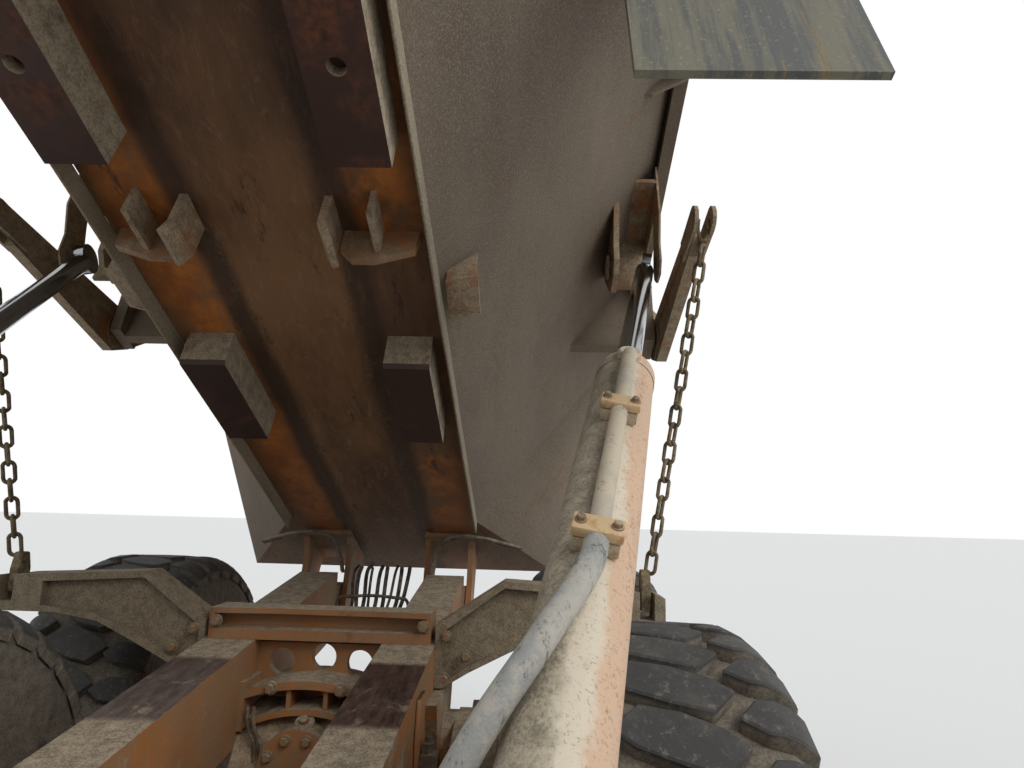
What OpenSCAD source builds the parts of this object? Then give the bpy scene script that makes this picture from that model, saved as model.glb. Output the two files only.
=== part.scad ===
// Six-wheel articulated dump truck, standing on its wheels with its bed partly raised.
// +X is forward, +Y is the machine's left and +Z is up. The ground is z = 0.
// Rear-unit places are measured from the middle of the bogie, tractor places from the front axle.
// Bed places are measured along the chassis rails' top plane, from the foot of the bed hinge.

/* [Wheels] */
// Outer radius of a tyre to the tips of its lugs
tyre_r = 805; // [790:1:820]
// Width of a tyre
tyre_w = 597; // [560:1:620]
// Depth of the tread between two lugs
lug_depth = 38; // [20:1:50]
// Number of lugs round each shoulder of a tyre
lug_count = 13; // [12:1:20]
// Radius of the bead seat of a rim
rim_r = 318; // [300:1:330]
// Thickness of the rim's barrel and disc
rim_wall = 26; // [20:1:40]
// Distance between the middles of a left and a right tyre
track = 2216; // [2150:1:2300]
// Distance between the two axles of the bogie
bogie = 1670; // [1640:1:1750]
// Distance from the front axle to the middle axle
wheelbase = 4173; // [4100:1:4300]

/* [Rear chassis] */
// Half the gap between the two chassis rails
rail_in = 242; // [225:1:255]
// Width of a chassis rail
rail_w = 200; // [180:1:210]
// Height of a chassis rail
rail_h = 330; // [290:1:335]
// Height of the rails' top above ground at the middle of the bogie
rail_z = 1396; // [1380:1:1450]
// Angle at which the rails rise to the rear
slope = 7.29; // [6:0.01:8]
// Height of the beam bolted across the rails
bar_h = 104; // [80:1:110]
// Reach of a chain arm from the middle of the truck
arm_reach = 1310; // [1250:1:1340]
// Thickness of a chain arm, front to rear
arm_t = 130; // [100:1:160]

/* [Bed hinge and hoists] */
// Distance of the bed hinge behind the middle of the bogie
hinge_back = 1194; // [1150:1:1220]
// Height of the bed hinge above ground
hinge_z = 1348; // [1340:1:1352]
// Radius of the bed's hinge pins
hinge_pin_r = 45; // [35:1:60]
// Angle of the bed above its lowered place, as the truck is parked
bed_raise = 32.8; // [30:0.1:36]
// Outer radius of a hoist barrel
hoist_r = 86; // [75:1:95]
// Radius of a hoist rod
hoist_rod_r = 40; // [38:1:55]

/* [Bed] */
// Thickness of the bed's plates
bed_t = 22; // [16:1:30]
// Height of the bed's belly above the rails' top plane, bed lowered
belly_c = 135; // [125:1:150]
// Half width of the belly
belly_hw = 490; // [470:1:510]
// Half width of the bed at the upper edge of its inclined walls
wall_hw = 1340; // [1320:1:1346]
// Height of that edge above the rails' top plane
wall_c = 1330; // [1300:1:1350]
// Height of the bed's top edge above the rails' top plane
top_c = 1430; // [1400:1:1460]
// Width of the box rail along each top edge
top_rail_w = 55; // [40:1:58]
// Distance of the bed's front wall ahead of its hinge
bed_front = 3950; // [3900:1:4000]
// Distance of the discharge lip behind the hinge
lip_back = 1450; // [1350:1:1500]
// Angle by which the tailgate stands open as parked
gate_open = 44.3; // [40:0.1:46]
// Length of the tailgate's lever ahead of its pivot
lever_l = 952; // [900:1:1000]

/* [Tractor] */
// Distance of the steering pivot behind the front axle
pivot_back = 1210; // [1180:1:1300]
// Height of the steering and roll bearings above ground
pivot_z = 880; // [860:1:900]
// Half width of the cab
cab_hw = 780; // [740:1:800]
// Thickness of the cab's walls and door
cab_t = 50; // [40:1:60]
// Height of the cab's roof above ground
cab_top = 3440; // [3380:1:3460]
// Height of the cab's floor above ground
cab_floor = 1640; // [1620:1:1680]
// Distance of the bumper's face ahead of the front axle
nose = 2690; // [2650:1:2720]

/* [Hidden] */

$fn = 48;
// Running clearance between a pin and its bore, and play between a moving part and its neighbour
fit = 0.05;
play = 6;
// Gap between two pieces that sit on each other
seat = 0.3;
// The middle of the bogie lies this far behind the middle of the whole truck
rear_x = -2225;
mid_x = bogie / 2;
front_x = mid_x + wheelbase;
pivot_x = front_x - pivot_back;
rail_out = rail_in + rail_w;
rise = tan(slope);
axle_z = tyre_r;
wheel_y = track / 2;
tyre_in = wheel_y - tyre_w / 2;
// Depth of the bed hinge under the rails' top plane, square to that plane
hinge_drop = (rail_z + hinge_back * rise - hinge_z) * cos(slope);
axle_tube_r = 105;

function rail_top(x) = rail_z - rise * x;

orange = [0.80, 0.48, 0.17];
mud = [0.55, 0.50, 0.42];
dark = [0.25, 0.21, 0.19];
steel = [0.62, 0.62, 0.62];
black = [0.14, 0.14, 0.14];

module at_rear() { translate([rear_x, 0, 0]) children(); }
module at_tractor() { translate([rear_x + front_x, 0, 0]) children(); }
module at_bed() {
    at_rear() translate([-hinge_back, 0, hinge_z]) rotate([0, slope - bed_raise, 0])
        translate([0, 0, hinge_drop]) children();
}
module mirrored(side) { if (side > 0) children(); else mirror([0, 1, 0]) children(); }
module both_sides() { children(); mirror([0, 1, 0]) children(); }
// A side profile drawn in X and Z, from y0 to y1
module slab_y(y0, y1) { translate([0, y1, 0]) rotate([90, 0, 0]) linear_extrude(y1 - y0) children(); }
// A cross section drawn in Y and Z, from x0 to x1
module slab_x(x0, x1) { translate([x0, 0, 0]) rotate([90, 0, 90]) linear_extrude(x1 - x0) children(); }
// A plan drawn in X and Y, from z0 to z1
module slab_z(z0, z1) { translate([0, 0, z0]) linear_extrude(z1 - z0) children(); }
// A round bar along Y
module bar_y(x, z, r, y0, y1) { translate([x, y1, z]) rotate([90, 0, 0]) cylinder(r = r, h = y1 - y0); }
module bar_x(y, z, r, x0, x1) { translate([x0, y, z]) rotate([0, 90, 0]) cylinder(r = r, h = x1 - x0); }
module block(x0, x1, y0, y1, z0, z1) { translate([x0, y0, z0]) cube([x1 - x0, y1 - y0, z1 - z0]); }

// Rear chassis

neck_front = pivot_x - 660;
neck_gap_end = neck_front - 160;
roll_r = 150;
bearing_r = 215;
bearing_front = neck_front + 250;
hinge_boss_r = 112;
rail_rear = -1040;
hoist_foot = [2858, 581, 747];
hoist_pin_r = 30;
hoist_ball_r = 52;
foot_w = 60;
foot_gap = 92;
// Widest swing of a hoist about its foot, for the room cut out of its fork
hoist_swing = 5.5;

module rail_profile() {
    slack = 20;
    polygon([
        [rail_rear, rail_top(rail_rear)],
        [neck_front, rail_top(neck_front)],
        [neck_front, rail_top(neck_front) - rail_h],
        [-hinge_back + 300, rail_top(-hinge_back + 300) - rail_h],
        [-hinge_back - hinge_boss_r + slack, hinge_z - hinge_boss_r],
        [-hinge_back - hinge_boss_r + slack, hinge_z],
        [-hinge_back, hinge_z + hinge_boss_r],
        [rail_rear, hinge_z + hinge_boss_r]
    ]);
}

module rear_frame() {
    color(orange) at_rear() difference() {
        union() {
            intersection() {
                union() {
                    slab_y(-rail_out, rail_out) rail_profile();
                    bar_y(-hinge_back, hinge_z, hinge_boss_r, -rail_out, rail_out);
                }
                slab_z(0, 2000) difference() {
                    polygon([
                        [-hinge_back - 200, rail_out], [1950, rail_out], [neck_front, bearing_r + 40],
                        [neck_front, -bearing_r - 40], [1950, -rail_out], [-hinge_back - 200, -rail_out]
                    ]);
                    polygon([
                        [-hinge_back - 300, rail_in], [1900, rail_in], [neck_gap_end, 110],
                        [neck_gap_end, -110], [1900, -rail_in], [-hinge_back - 300, -rail_in]
                    ]);
                }
            }
            bar_x(0, pivot_z, bearing_r, neck_front - 30, bearing_front);
            // Round tubes between the rails
            bar_y(-760, rail_top(-760) - 170, 70, -rail_in - 20, rail_in + 20);
            bar_y(1450, rail_top(1450) - 170, 70, -rail_in - 20, rail_in + 20);
            // Outriggers that carry the hoists' feet, each a fork round a ball on its pin
            both_sides() {
                difference() {
                    slab_y(270, hoist_foot[1] + 70) polygon([
                        [hoist_foot[0] - 260, hoist_foot[2] + 20], [hoist_foot[0] - 110, hoist_foot[2] - 110],
                        [hoist_foot[0] + 70, hoist_foot[2] - 80], [hoist_foot[0] + 85, hoist_foot[2] + 10],
                        [hoist_foot[0] + 40, hoist_foot[2] + 75], [hoist_foot[0] - 60, hoist_foot[2] + 75]
                    ]);
                    along_hoist_here() {
                        translate([-95, -foot_gap / 2, -95]) cube([190, foot_gap, 400]);
                        translate([0, 0, 74]) cylinder(r1 = hoist_r + 16, r2 = hoist_r + 16 + 700 * tan(hoist_swing), h = 700);
                    }
                }
                along_hoist_here() {
                    rotate([90, 0, 0]) cylinder(r = hoist_pin_r, h = foot_gap + 20, center = true);
                    sphere(r = hoist_ball_r);
                }
            }
        }
        bar_y(-hinge_back, hinge_z, hinge_pin_r + fit, -rail_out - 5, rail_out + 5);
        translate([neck_front - 1, 0, pivot_z]) rotate([0, 90, 0]) cylinder(r = roll_r + fit, h = 300);
    }
}

bar_hw = 425;
bar_flange = 20;
bar_web = 12;

// A short I-beam, open to the front and rear between its end plates, wider in plan at its ends
module crossbar() {
    z0 = rail_top(70) + seat;
    z1 = rail_top(0) + bar_h;
    color(orange) at_rear() {
        intersection() {
            slab_y(-bar_hw, bar_hw) polygon([
                [-75, rail_top(-75) + seat], [75, z0], [75, z1], [-75, z1]
            ]);
            union() {
                slab_z(z1 - bar_flange, z1) polygon([
                    [-75, -bar_hw], [-58, -200], [-58, 200], [-75, bar_hw],
                    [75, bar_hw], [58, 200], [58, -200], [75, -bar_hw]
                ]);
                block(-bar_web / 2, bar_web / 2, -bar_hw, bar_hw, z0 - 5, z1);
                slab_z(z0 - 30, rail_top(-75) + bar_flange) square([150, 2 * bar_hw], center = true);
                both_sides() block(-75, 75, bar_hw - 18, bar_hw, z0 - 30, z1);
            }
        }
    }
}

chain_pin_r = 20;
chain_lug_z = 1558;
arm_lip = 24;

// Front outline of a chain arm, drawn in by i
function arm_outline(i) = [
    [rail_out + seat + i, 1233 + i], [475 + i / 3, 1233 + i], [570, 1290 + i], [725, 1368 + i], [870, 1435 + i],
    [1035, 1462 + i], [arm_reach - i, 1462 + i], [arm_reach - i, 1580 - i], [1273 - i / 3, 1596 - i],
    [700, 1625 - i], [rail_out + seat + i, 1455 - i]
];

// A web with a lip all round, forked at its end for the chain's first plate
module chain_arms() {
    color(mud) at_rear() both_sides() {
        difference() {
            slab_x(-arm_t / 2, arm_t / 2) polygon(arm_outline(0));
            for (s = [-1, 1]) translate([s * (arm_t / 2 + 20), 0, 0])
                slab_x(-arm_t / 2 + 10, arm_t / 2 - 10) polygon(concat(
                    [for (k = [0 : 4]) arm_outline(arm_lip)[k]], [[1100, 1462 + arm_lip], [1100, 1600 - arm_lip]],
                    [arm_outline(arm_lip)[9], arm_outline(arm_lip)[10]]));
            translate([0, arm_reach - 68, chain_lug_z + 40]) cube([arm_t + 10, 56, 200], center = true);
        }
        bar_y(0, chain_lug_z, chain_pin_r, arm_reach - 110, arm_reach - 20);
    }
}

cradle_z = 1010;

// The cast cross member between the rails, over the housing of the bogie's pivot
module bogie_bracket() {
    w = rail_in - seat;
    color(orange) at_rear() {
        // Upper web with three openings, and its arched flange
        difference() {
            slab_x(-20, 20) polygon([[-w, 1180], [w, 1180], [w, rail_top(40) - 20], [-w, rail_top(40) - 20]]);
            translate([-30, 0, 0]) rotate([90, 0, 90]) linear_extrude(60) {
                translate([10, 1322]) circle(r = 48);
                for (s = [-1, 1]) translate([s * 150, 1300]) circle(r = 50);
            }
        }
        slab_x(-60, 190) polygon(concat(
            [for (i = [-6 : 6]) let (y = w * i / 6) [y, 1272 - 45 * pow(i / 6, 2)]],
            [for (i = [6 : -1 : -6]) let (y = w * i / 6) [y, 1244 - 45 * pow(i / 6, 2)]]));
        slab_x(-60, 190) polygon(concat(
            [for (i = [-6 : 6]) let (y = w * i / 6) [y, 1178 - 62 * pow(i / 6, 2)]],
            [for (i = [6 : -1 : -6]) let (y = w * i / 6) [y, 1156 - 62 * pow(i / 6, 2)]]));
        both_sides() block(-60, 190, w - 22, w, 1096, 1262);
        for (y = [-75, 60]) block(-60, 170, y, y + 16, 1165, 1262);
        // Housing of the pivot
        slab_y(-w, w) polygon(concat([[-190, cradle_z - 60]], [[-190, cradle_z]],
            [for (a = [160 : -14 : 20]) [190 * cos(a), cradle_z + 10 + 148 * sin(a)]], [[230, cradle_z - 20], [230, cradle_z - 60]]));
        bar_x(0, cradle_z - 10, 130, 60, 262);
    }
}

beam_y0 = 530;
beam_y1 = 690;
beam_pivot_z = cradle_z;

module bogie_beams() {
    color(mud) at_rear() both_sides() {
        difference() {
            union() {
                slab_y(beam_y0, beam_y1) polygon([
                    [-mid_x - 60, axle_z + 60], [-mid_x + 60, axle_z - 110], [0, beam_pivot_z - 150],
                    [mid_x - 60, axle_z - 110], [mid_x + 60, axle_z + 60], [120, beam_pivot_z + 110],
                    [-120, beam_pivot_z + 110]
                ]);
                for (s = [-1, 1]) bar_y(s * mid_x, axle_z, axle_tube_r + 45, beam_y0, beam_y1);
                bar_y(0, beam_pivot_z, 120, rail_out + seat, beam_y1 + 30);
            }
            for (s = [-1, 1]) bar_y(s * mid_x, axle_z, axle_tube_r + seat, beam_y0 - 5, beam_y1 + 5);
        }
        slab_y(rail_out + seat, rail_out + 40) polygon([
            [-260, 1224], [260, 1224], [120, beam_pivot_z - 120], [-120, beam_pivot_z - 120]
        ]);
    }
}

hub_r = 215;
hub_out = wheel_y + 95;
spindle_r = 120;

// An axle casing with a bowl for the differential and a spindle at each end
module axle_casing(x, nose_dir) {
    union() {
        bar_y(x, axle_z, axle_tube_r, -tyre_in - 20, tyre_in + 20);
        bar_y(x, axle_z, spindle_r, tyre_in - 40, hub_out);
        bar_y(x, axle_z, spindle_r, -hub_out, -tyre_in + 40);
        bar_y(x, axle_z, 185, tyre_in - 60, tyre_in + 5);
        bar_y(x, axle_z, 185, -tyre_in - 5, -tyre_in + 60);
        translate([x, 0, axle_z]) sphere(r = 225);
        translate([x, 0, axle_z]) rotate([0, 90 * nose_dir, 0]) cylinder(r1 = 150, r2 = 85, h = 330);
    }
}

module mid_axle() { color(orange) at_rear() axle_casing(mid_x, 1); }
module rear_axle() { color(orange) at_rear() axle_casing(-mid_x, 1); }
module front_axle() {
    color(orange) at_rear() {
        axle_casing(front_x, -1);
        both_sides() block(front_x - 90, front_x + 90, 225, 310, 850, 925 - seat);
    }
}

module drive_shafts() {
    color(black) at_rear() {
        bar_x(0, axle_z, 55, mid_x + 330 + seat, neck_gap_end - seat);
        bar_x(0, axle_z, 55, -mid_x + 330 + seat, mid_x - 225 - seat);
    }
}

// Bed

// Stations of the bed: distance ahead of the hinge, floor half width, floor height,
// half width and height of the inclined wall's upper edge
tail_hw = 947;
bed_stations = [
    [bed_front, belly_hw - 30, belly_c, wall_hw, wall_c],
    [400, belly_hw + 8, belly_c, wall_hw, wall_c],
    [-400, tail_hw, belly_c + 28, wall_hw, wall_c - 350],
    [-lip_back, tail_hw + 150, belly_c + 430, wall_hw, wall_c - 250]
];
top_hw = wall_hw + 5;

// Rings of a wall's plate and of the floor's plate at a station
function wall_ring(s, side) = [for (p = [
    [s[1], s[2]], [s[3], s[4]], [top_hw, top_c],
    [top_hw - bed_t, top_c], [s[3] - bed_t * 1.2, s[4] + bed_t * 0.4], [s[1] - bed_t * 0.3, s[2] + bed_t]
]) [s[0], side * p[0], p[1]]];
function floor_ring(s) = [for (p = [
    [-s[1] + seat, s[2]], [s[1] - seat, s[2]],
    [s[1] - bed_t * 0.3 - seat, s[2] + bed_t], [-s[1] + bed_t * 0.3 + seat, s[2] + bed_t]
]) [s[0], p[0], p[1]]];

// A skin through rings of equal point count, closed at both ends
module loft(rings) {
    n = len(rings[0]);
    pts = [for (r = rings) for (p = r) p];
    last = (len(rings) - 1) * n;
    polyhedron(points = pts, faces = concat(
        [for (k = [0 : len(rings) - 2]) for (i = [0 : n - 1]) for (t = [0, 1])
            let (a = k * n + i, b = k * n + (i + 1) % n)
            i < n / 2 ? (t == 0 ? [a, b, a + n] : [b, b + n, a + n])
                : (t == 0 ? [a, b, b + n] : [a, b + n, a + n])],
        [[for (i = [n - 1 : -1 : 0]) i], [for (i = [0 : n - 1]) last + i]]
    ));
}

guard_top = top_c + 330;

// The space under the left wall and the belly, a seat's breadth off the bed
module under_bed() {
    loft([for (st = bed_stations) [
        [st[0], 0, -900], [st[0], top_hw + 700, -900], [st[0], top_hw + 700, top_c + 10],
        [st[0], top_hw - 1, top_c + 10], [st[0], top_hw - 1, top_c], [st[0], st[3], st[4] - seat],
        [st[0], st[1], st[2] - seat], [st[0], 0, st[2] - seat]
    ]]);
}

module bed_floor() { color(mud) at_bed() loft([for (st = bed_stations) floor_ring(st)]); }

module bed_walls() {
    s = bed_stations[0];
    color(mud) at_bed() {
        both_sides() loft([for (st = bed_stations) wall_ring(st, 1)]);
        slab_x(bed_front + seat, bed_front + bed_t) polygon([
            [-s[1], s[2]], [s[1], s[2]], [s[3], s[4]], [top_hw, top_c], [top_hw - 250, guard_top],
            [-top_hw + 250, guard_top], [-top_hw, top_c], [-s[3], s[4]]
        ]);
    }
}

// Height of the top rail's underside
rail_c0 = wall_c - 60;

module bed_rails() {
    color(mud) at_bed() both_sides() {
        block(90 - lip_back, bed_front, top_hw + seat, top_hw + top_rail_w, rail_c0, top_c);
        // Gussets under the rail
        intersection() {
            union() for (a = [2250, 2750, 3250, 3700]) block(a, a + 14, 900, top_hw + top_rail_w, 900, rail_c0 + 1);
            under_bed();
            slab_x(0, bed_front) polygon([
                [wall_hw - 100, 1150], [top_hw + top_rail_w, rail_c0 + 1], [top_hw + top_rail_w, 1300],
                [900, 1300], [900, 1100]
            ]);
        }
    }
}

channel_y0 = 275;
channel_y1 = 435;
channel_end = 2780;

pad_a0 = 1450;
pad_a1 = 1960;

// Closed box beams and pads that rest on the chassis rails when the bed is down
module bed_runners() {
    color(dark) at_bed() both_sides() {
        difference() {
            block(channel_end, bed_front - 60, channel_y0, channel_y1, 0, belly_c - seat);
            translate([channel_end + 260, (channel_y0 + channel_y1) / 2, -5]) cylinder(r = 22, h = 40);
        }
        slab_y(channel_y0, channel_y1) polygon([
            [pad_a0, 0], [pad_a1 - 12, 0], [pad_a1, 14], [pad_a1, belly_c - seat], [pad_a0, belly_c - seat]
        ]);
    }
}

// Guides that centre the bed on the rails: a plate, its rib, and a cranked wear edge
module guide_brackets() {
    color(mud) at_bed() both_sides() {
        slab_x(2425, 2450) polygon([
            [225, belly_c - seat], [452, belly_c - seat], [440, 60], [330, 20], [262, 20], [225, 60]
        ]);
        block(2445, 2600, 330, 346, 40, belly_c - seat);
        slab_x(2450, 2580) polygon([
            [195, belly_c - seat], [195, 20], [218, -22], [236, -14], [219, 26], [219, belly_c - seat]
        ]);
    }
}

ear_t = 30;
ear_gap = play - 1;

// Curved webs in pairs, one each side of a chassis rail, with the hinge pin between them
module hinge_arms() {
    color(orange) at_bed() both_sides() {
        for (y0 = [rail_in - ear_gap - ear_t, rail_out + ear_gap]) slab_y(y0, y0 + ear_t) union() {
            translate([0, -hinge_drop]) circle(r = 95);
            polygon(concat(
                [for (t = [0 : 5]) let (a = 90 * t / 5) [95 + 150 * (1 - cos(a)), -hinge_drop + (hinge_drop + belly_c - seat) * sin(a)]],
                [[-150, belly_c - seat], [-118, 40], [-95, -hinge_drop]]));
        }
        bar_y(0, -hinge_drop, hinge_pin_r, rail_in - ear_gap - ear_t, rail_out + ear_gap + ear_t);
        block(-120, 230, rail_in - ear_gap - ear_t, rail_out + ear_gap + ear_t, belly_c - 24, belly_c - seat);
    }
}

// Rod's eye on the bed, and the side bracket round it
eye = [1599, 1283, 846];
eye_w = 46;
eye_gap_in = 104;
eye_gap_out = 23;
bracket_t = 24;
outer_t = 9;
eye_pin_r = 34;

// A casting under the top rail: two cheeks beside the rod's eye, a bridge over it, and a flange
module hoist_brackets() {
    y0 = eye[1] - eye_w / 2 - eye_gap_in - bracket_t;
    y1 = eye[1] + eye_w / 2 + eye_gap_out;
    color(mud) at_bed() both_sides() {
        intersection() {
            union() {
                // The outer cheek leaves room behind it for the chain, bed lowered
                slab_y(y1, y1 + outer_t) polygon([
                    [eye[0] - 330, rail_c0 - seat], [eye[0] + 225, rail_c0 - seat], [eye[0] + 190, eye[2] + 160],
                    [eye[0] + 120, eye[2] + 40], [eye[0] + 105, eye[2] - 50], [eye[0] + 60, eye[2] - 95],
                    [eye[0] - 10, eye[2] - 80], [eye[0] - 44, eye[2] - 30], [eye[0] - 42, eye[2] + 20],
                    [eye[0] + 34, eye[2] + 165], [eye[0] + 66, eye[2] + 232], [eye[0] - 270, eye[2] + 262]
                ]);
                slab_y(y0, y0 + bracket_t) polygon([
                    [eye[0] - 330, rail_c0 - seat], [eye[0] + 225, rail_c0 - seat], [eye[0] + 190, eye[2] + 160],
                    [eye[0] + 120, eye[2] + 40], [eye[0] + 105, eye[2] - 50], [eye[0] + 60, eye[2] - 95],
                    [eye[0] - 60, eye[2] - 95], [eye[0] - 105, eye[2] - 50], [eye[0] - 230, eye[2] + 130]
                ]);
                block(eye[0] - 330, eye[0] + 212, y0, y1 + outer_t, eye[2] + 330, eye[2] + 352);
                block(eye[0] - 165, eye[0] - 143, y0, y1 + outer_t, eye[2] + 20, rail_c0 - seat);
            }
            under_bed();
        }
        // Ends of the pin, outside the cheeks
        bar_y(eye[0], eye[2], eye_pin_r, y0 - 14, y0 + 2);
        bar_y(eye[0], eye[2], eye_pin_r, y1 + outer_t - 2, y1 + outer_t + 3);
    }
}

gate_pivot = [1040, 1345, 880];
arm_y0 = top_hw + top_rail_w + play + 14;
arm_w = 50;

// Brackets under the top rails, with the pins that the gate's arms swing on
gate_pin_r = 40;
module gate_brackets() {
    color(mud) at_bed() both_sides() {
        intersection() {
            union() {
                slab_y(top_hw, top_hw + top_rail_w) polygon([
                    [gate_pivot[0] - 150, rail_c0 - seat], [gate_pivot[0] + 150, rail_c0 - seat],
                    [gate_pivot[0] + 80, gate_pivot[2] - 60], [gate_pivot[0] - 80, gate_pivot[2] - 60]
                ]);
                block(gate_pivot[0] - 30, gate_pivot[0] + 30, 900, top_hw + 2, gate_pivot[2] - 60, rail_c0 - seat);
            }
            under_bed();
        }
        bar_y(gate_pivot[0], gate_pivot[2], gate_pin_r, top_hw + 5, arm_y0 + arm_w + 12);
    }
}

flap_a = 3085;

module mud_flaps() {
    color(black) at_bed() both_sides()
        intersection() {
            slab_x(flap_a, flap_a + 18) polygon([
                [978, -110], [1480, -110], [1480, 560], [1330, 900], [1330, 1280], [978, 1280]
            ]);
            under_bed();
        }
}

// Tailgate

gate_top = 1300;

module at_gate() {
    at_bed() translate([gate_pivot[0], 0, gate_pivot[2]]) rotate([0, gate_open, 0]) children();
}

module tailgate() {
    x0 = -lip_back - gate_pivot[0] - 75;
    color(mud) at_gate() union() {
        slab_x(x0 - 30, x0) polygon([
            [-tail_hw - 120, belly_c + 420 - gate_pivot[2]], [tail_hw + 120, belly_c + 420 - gate_pivot[2]],
            [top_hw + 20, wall_c - 250 - gate_pivot[2]], [top_hw + 20, gate_top - gate_pivot[2]],
            [-top_hw - 20, gate_top - gate_pivot[2]], [-top_hw - 20, wall_c - 250 - gate_pivot[2]]
        ]);
    }
}

// Fork at the lever's tip: middle plane, free width and thickness of its cheeks
fork_y = 1449;
fork_gap = 54;
fork_t = 15;

// Angle of the lever above the bed's plane when the gate is shut
lever_up = 17.1 + gate_open - bed_raise + slope;

module gate_arms() {
    x0 = -lip_back - gate_pivot[0] - 105;
    tip = [lever_l * cos(lever_up), lever_l * sin(lever_up)];
    along = [cos(lever_up), sin(lever_up)];
    side = [-sin(lever_up), cos(lever_up)];
    color(orange) at_gate() both_sides() union() {
        difference() {
            union() {
                // Lever: a tapering plate, then the arm that carries the gate
                slab_y(arm_y0, arm_y0 + arm_w) polygon(concat(
                    [[-60, 105]], [tip + 62 * side - 30 * [side[1], -side[0]]],
                    [for (a = [90 : -30 : -90]) tip + 50 * [cos(lever_up + a), sin(lever_up + a)]],
                    [[60, -100], [-80, -110], [x0, 120], [x0, 320]]));
                bar_y(0, 0, 92, arm_y0 - 8, arm_y0 + arm_w + 8);
                // Stiffening rib along the lever and the arm
                slab_y(arm_y0 - 8, arm_y0 + arm_w + 8) polygon([
                    [0, 84], tip * 0.72 + 30 * side, tip * 0.72 + 6 * side, [0, 52]
                ]);
                // Fork at the lever's tip, wider than the lever
                slab_y(fork_y - fork_gap / 2 - fork_t, fork_y + fork_gap / 2 + fork_t) polygon(concat(
                    [tip - 215 * along + 50 * side],
                    [for (a = [90 : -30 : -90]) tip + 53 * [cos(lever_up + a), sin(lever_up + a)]],
                    [tip - 215 * along - 50 * side]));
            }
            bar_y(0, 0, gate_pin_r + fit, arm_y0 - 12, arm_y0 + arm_w + 12);
            translate([tip[0], fork_y, tip[1]]) rotate([0, -lever_up, 0]) translate([-42, 0, 0])
                cube([234, fork_gap, 180], center = true);
        }
        for (s = [-1, 1]) bar_y(tip[0], tip[1], 26, fork_y + s * (fork_gap / 2 + fork_t) - 4,
            fork_y + s * (fork_gap / 2 + fork_t) + 4);
        block(x0, x0 + 60, top_hw + 20 + seat, arm_y0 + 10, 120, 320);
    }
}

chain_top = [160, 1455, 2950];
chain_low = [0, arm_reach - 68, 1558];

// A chain: a plate on the arm's pin, then flat-sided links, every other one turned
module chain(side) {
    d = chain_top - chain_low;
    l = norm(d);
    links = 8;
    first = 120;
    pitch = (l - first) / links;
    color(steel) at_rear() mirrored(side) translate(chain_low) {
        difference() {
            slab_y(-20, 20) polygon([[-36, -30], [36, -30], [36, 60], [22, 130], [-22, 130], [-36, 60]]);
            bar_y(0, 0, chain_pin_r + fit, -30, 30);
        }
        rotate([0, acos(d[2] / l), atan2(d[1], d[0])])
            for (k = [0 : links - 1]) translate([0, 0, first - 8 + k * pitch]) rotate([90, 0, k % 2 == 0 ? 90 : 0])
                translate([0, 0, -8]) linear_extrude(16) difference() {
                    translate([-28, 0]) square([56, pitch + 12]);
                    translate([-10, 20]) square([20, pitch - 28]);
                }
    }
}

// Hoists

// Rod's eye in the rear unit's places, from its place on the bed
tilt = bed_raise - slope;
eye_up = eye[2] + hinge_drop;
hoist_eye = [
    -hinge_back + eye[0] * cos(tilt) - eye_up * sin(tilt),
    eye[1],
    hinge_z + eye[0] * sin(tilt) + eye_up * cos(tilt)
];
hoist_v = hoist_eye - hoist_foot;
hoist_l = norm(hoist_v);
barrel_l = 2700;
// Start of the rod inside the barrel, as the bed stands
rod_foot = 1260;
// Turn of the eye about the rod that sets it square to the bed's brackets
eye_turn = atan2(hoist_v[1], hoist_v[0]) - 180;

// +Z runs from the left hoist's foot to its rod's eye
module along_hoist_here() {
    translate(hoist_foot) rotate([0, acos(hoist_v[2] / hoist_l), atan2(hoist_v[1], hoist_v[0])]) children();
}
module along_hoist(side) { at_rear() mirrored(side) along_hoist_here() children(); }

module hoist_barrel(side) {
    color(mud) along_hoist(side) difference() {
        union() {
            translate([0, 0, 90]) cylinder(r = hoist_r, h = barrel_l - 90);
            translate([-52, -foot_w / 2, 0]) cube([104, foot_w, 95]);
            rotate([90, 0, 0]) cylinder(r = 80, h = foot_w, center = true);
        }
        sphere(r = hoist_ball_r + fit);
        translate([0, 0, 200]) cylinder(r = hoist_rod_r + fit, h = barrel_l);
    }
}

module hoist_rod(side) {
    color(steel) along_hoist(side) {
        translate([0, 0, rod_foot]) cylinder(r = hoist_rod_r, h = hoist_l - rod_foot - 46);
        translate([0, 0, hoist_l]) rotate([90, 0, -eye_turn]) cylinder(r = 68, h = eye_w - 6, center = true);
    }
}

// Articulation

yoke_out = 350;
yoke_in = 262;
steer_pin_r = 60;
steer_foot = [-112, 262];
steer_eye = [690, 410];
steer_boss_r = 52;
steer_pin2_r = 26;
steer_eye_w = 64;

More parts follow.
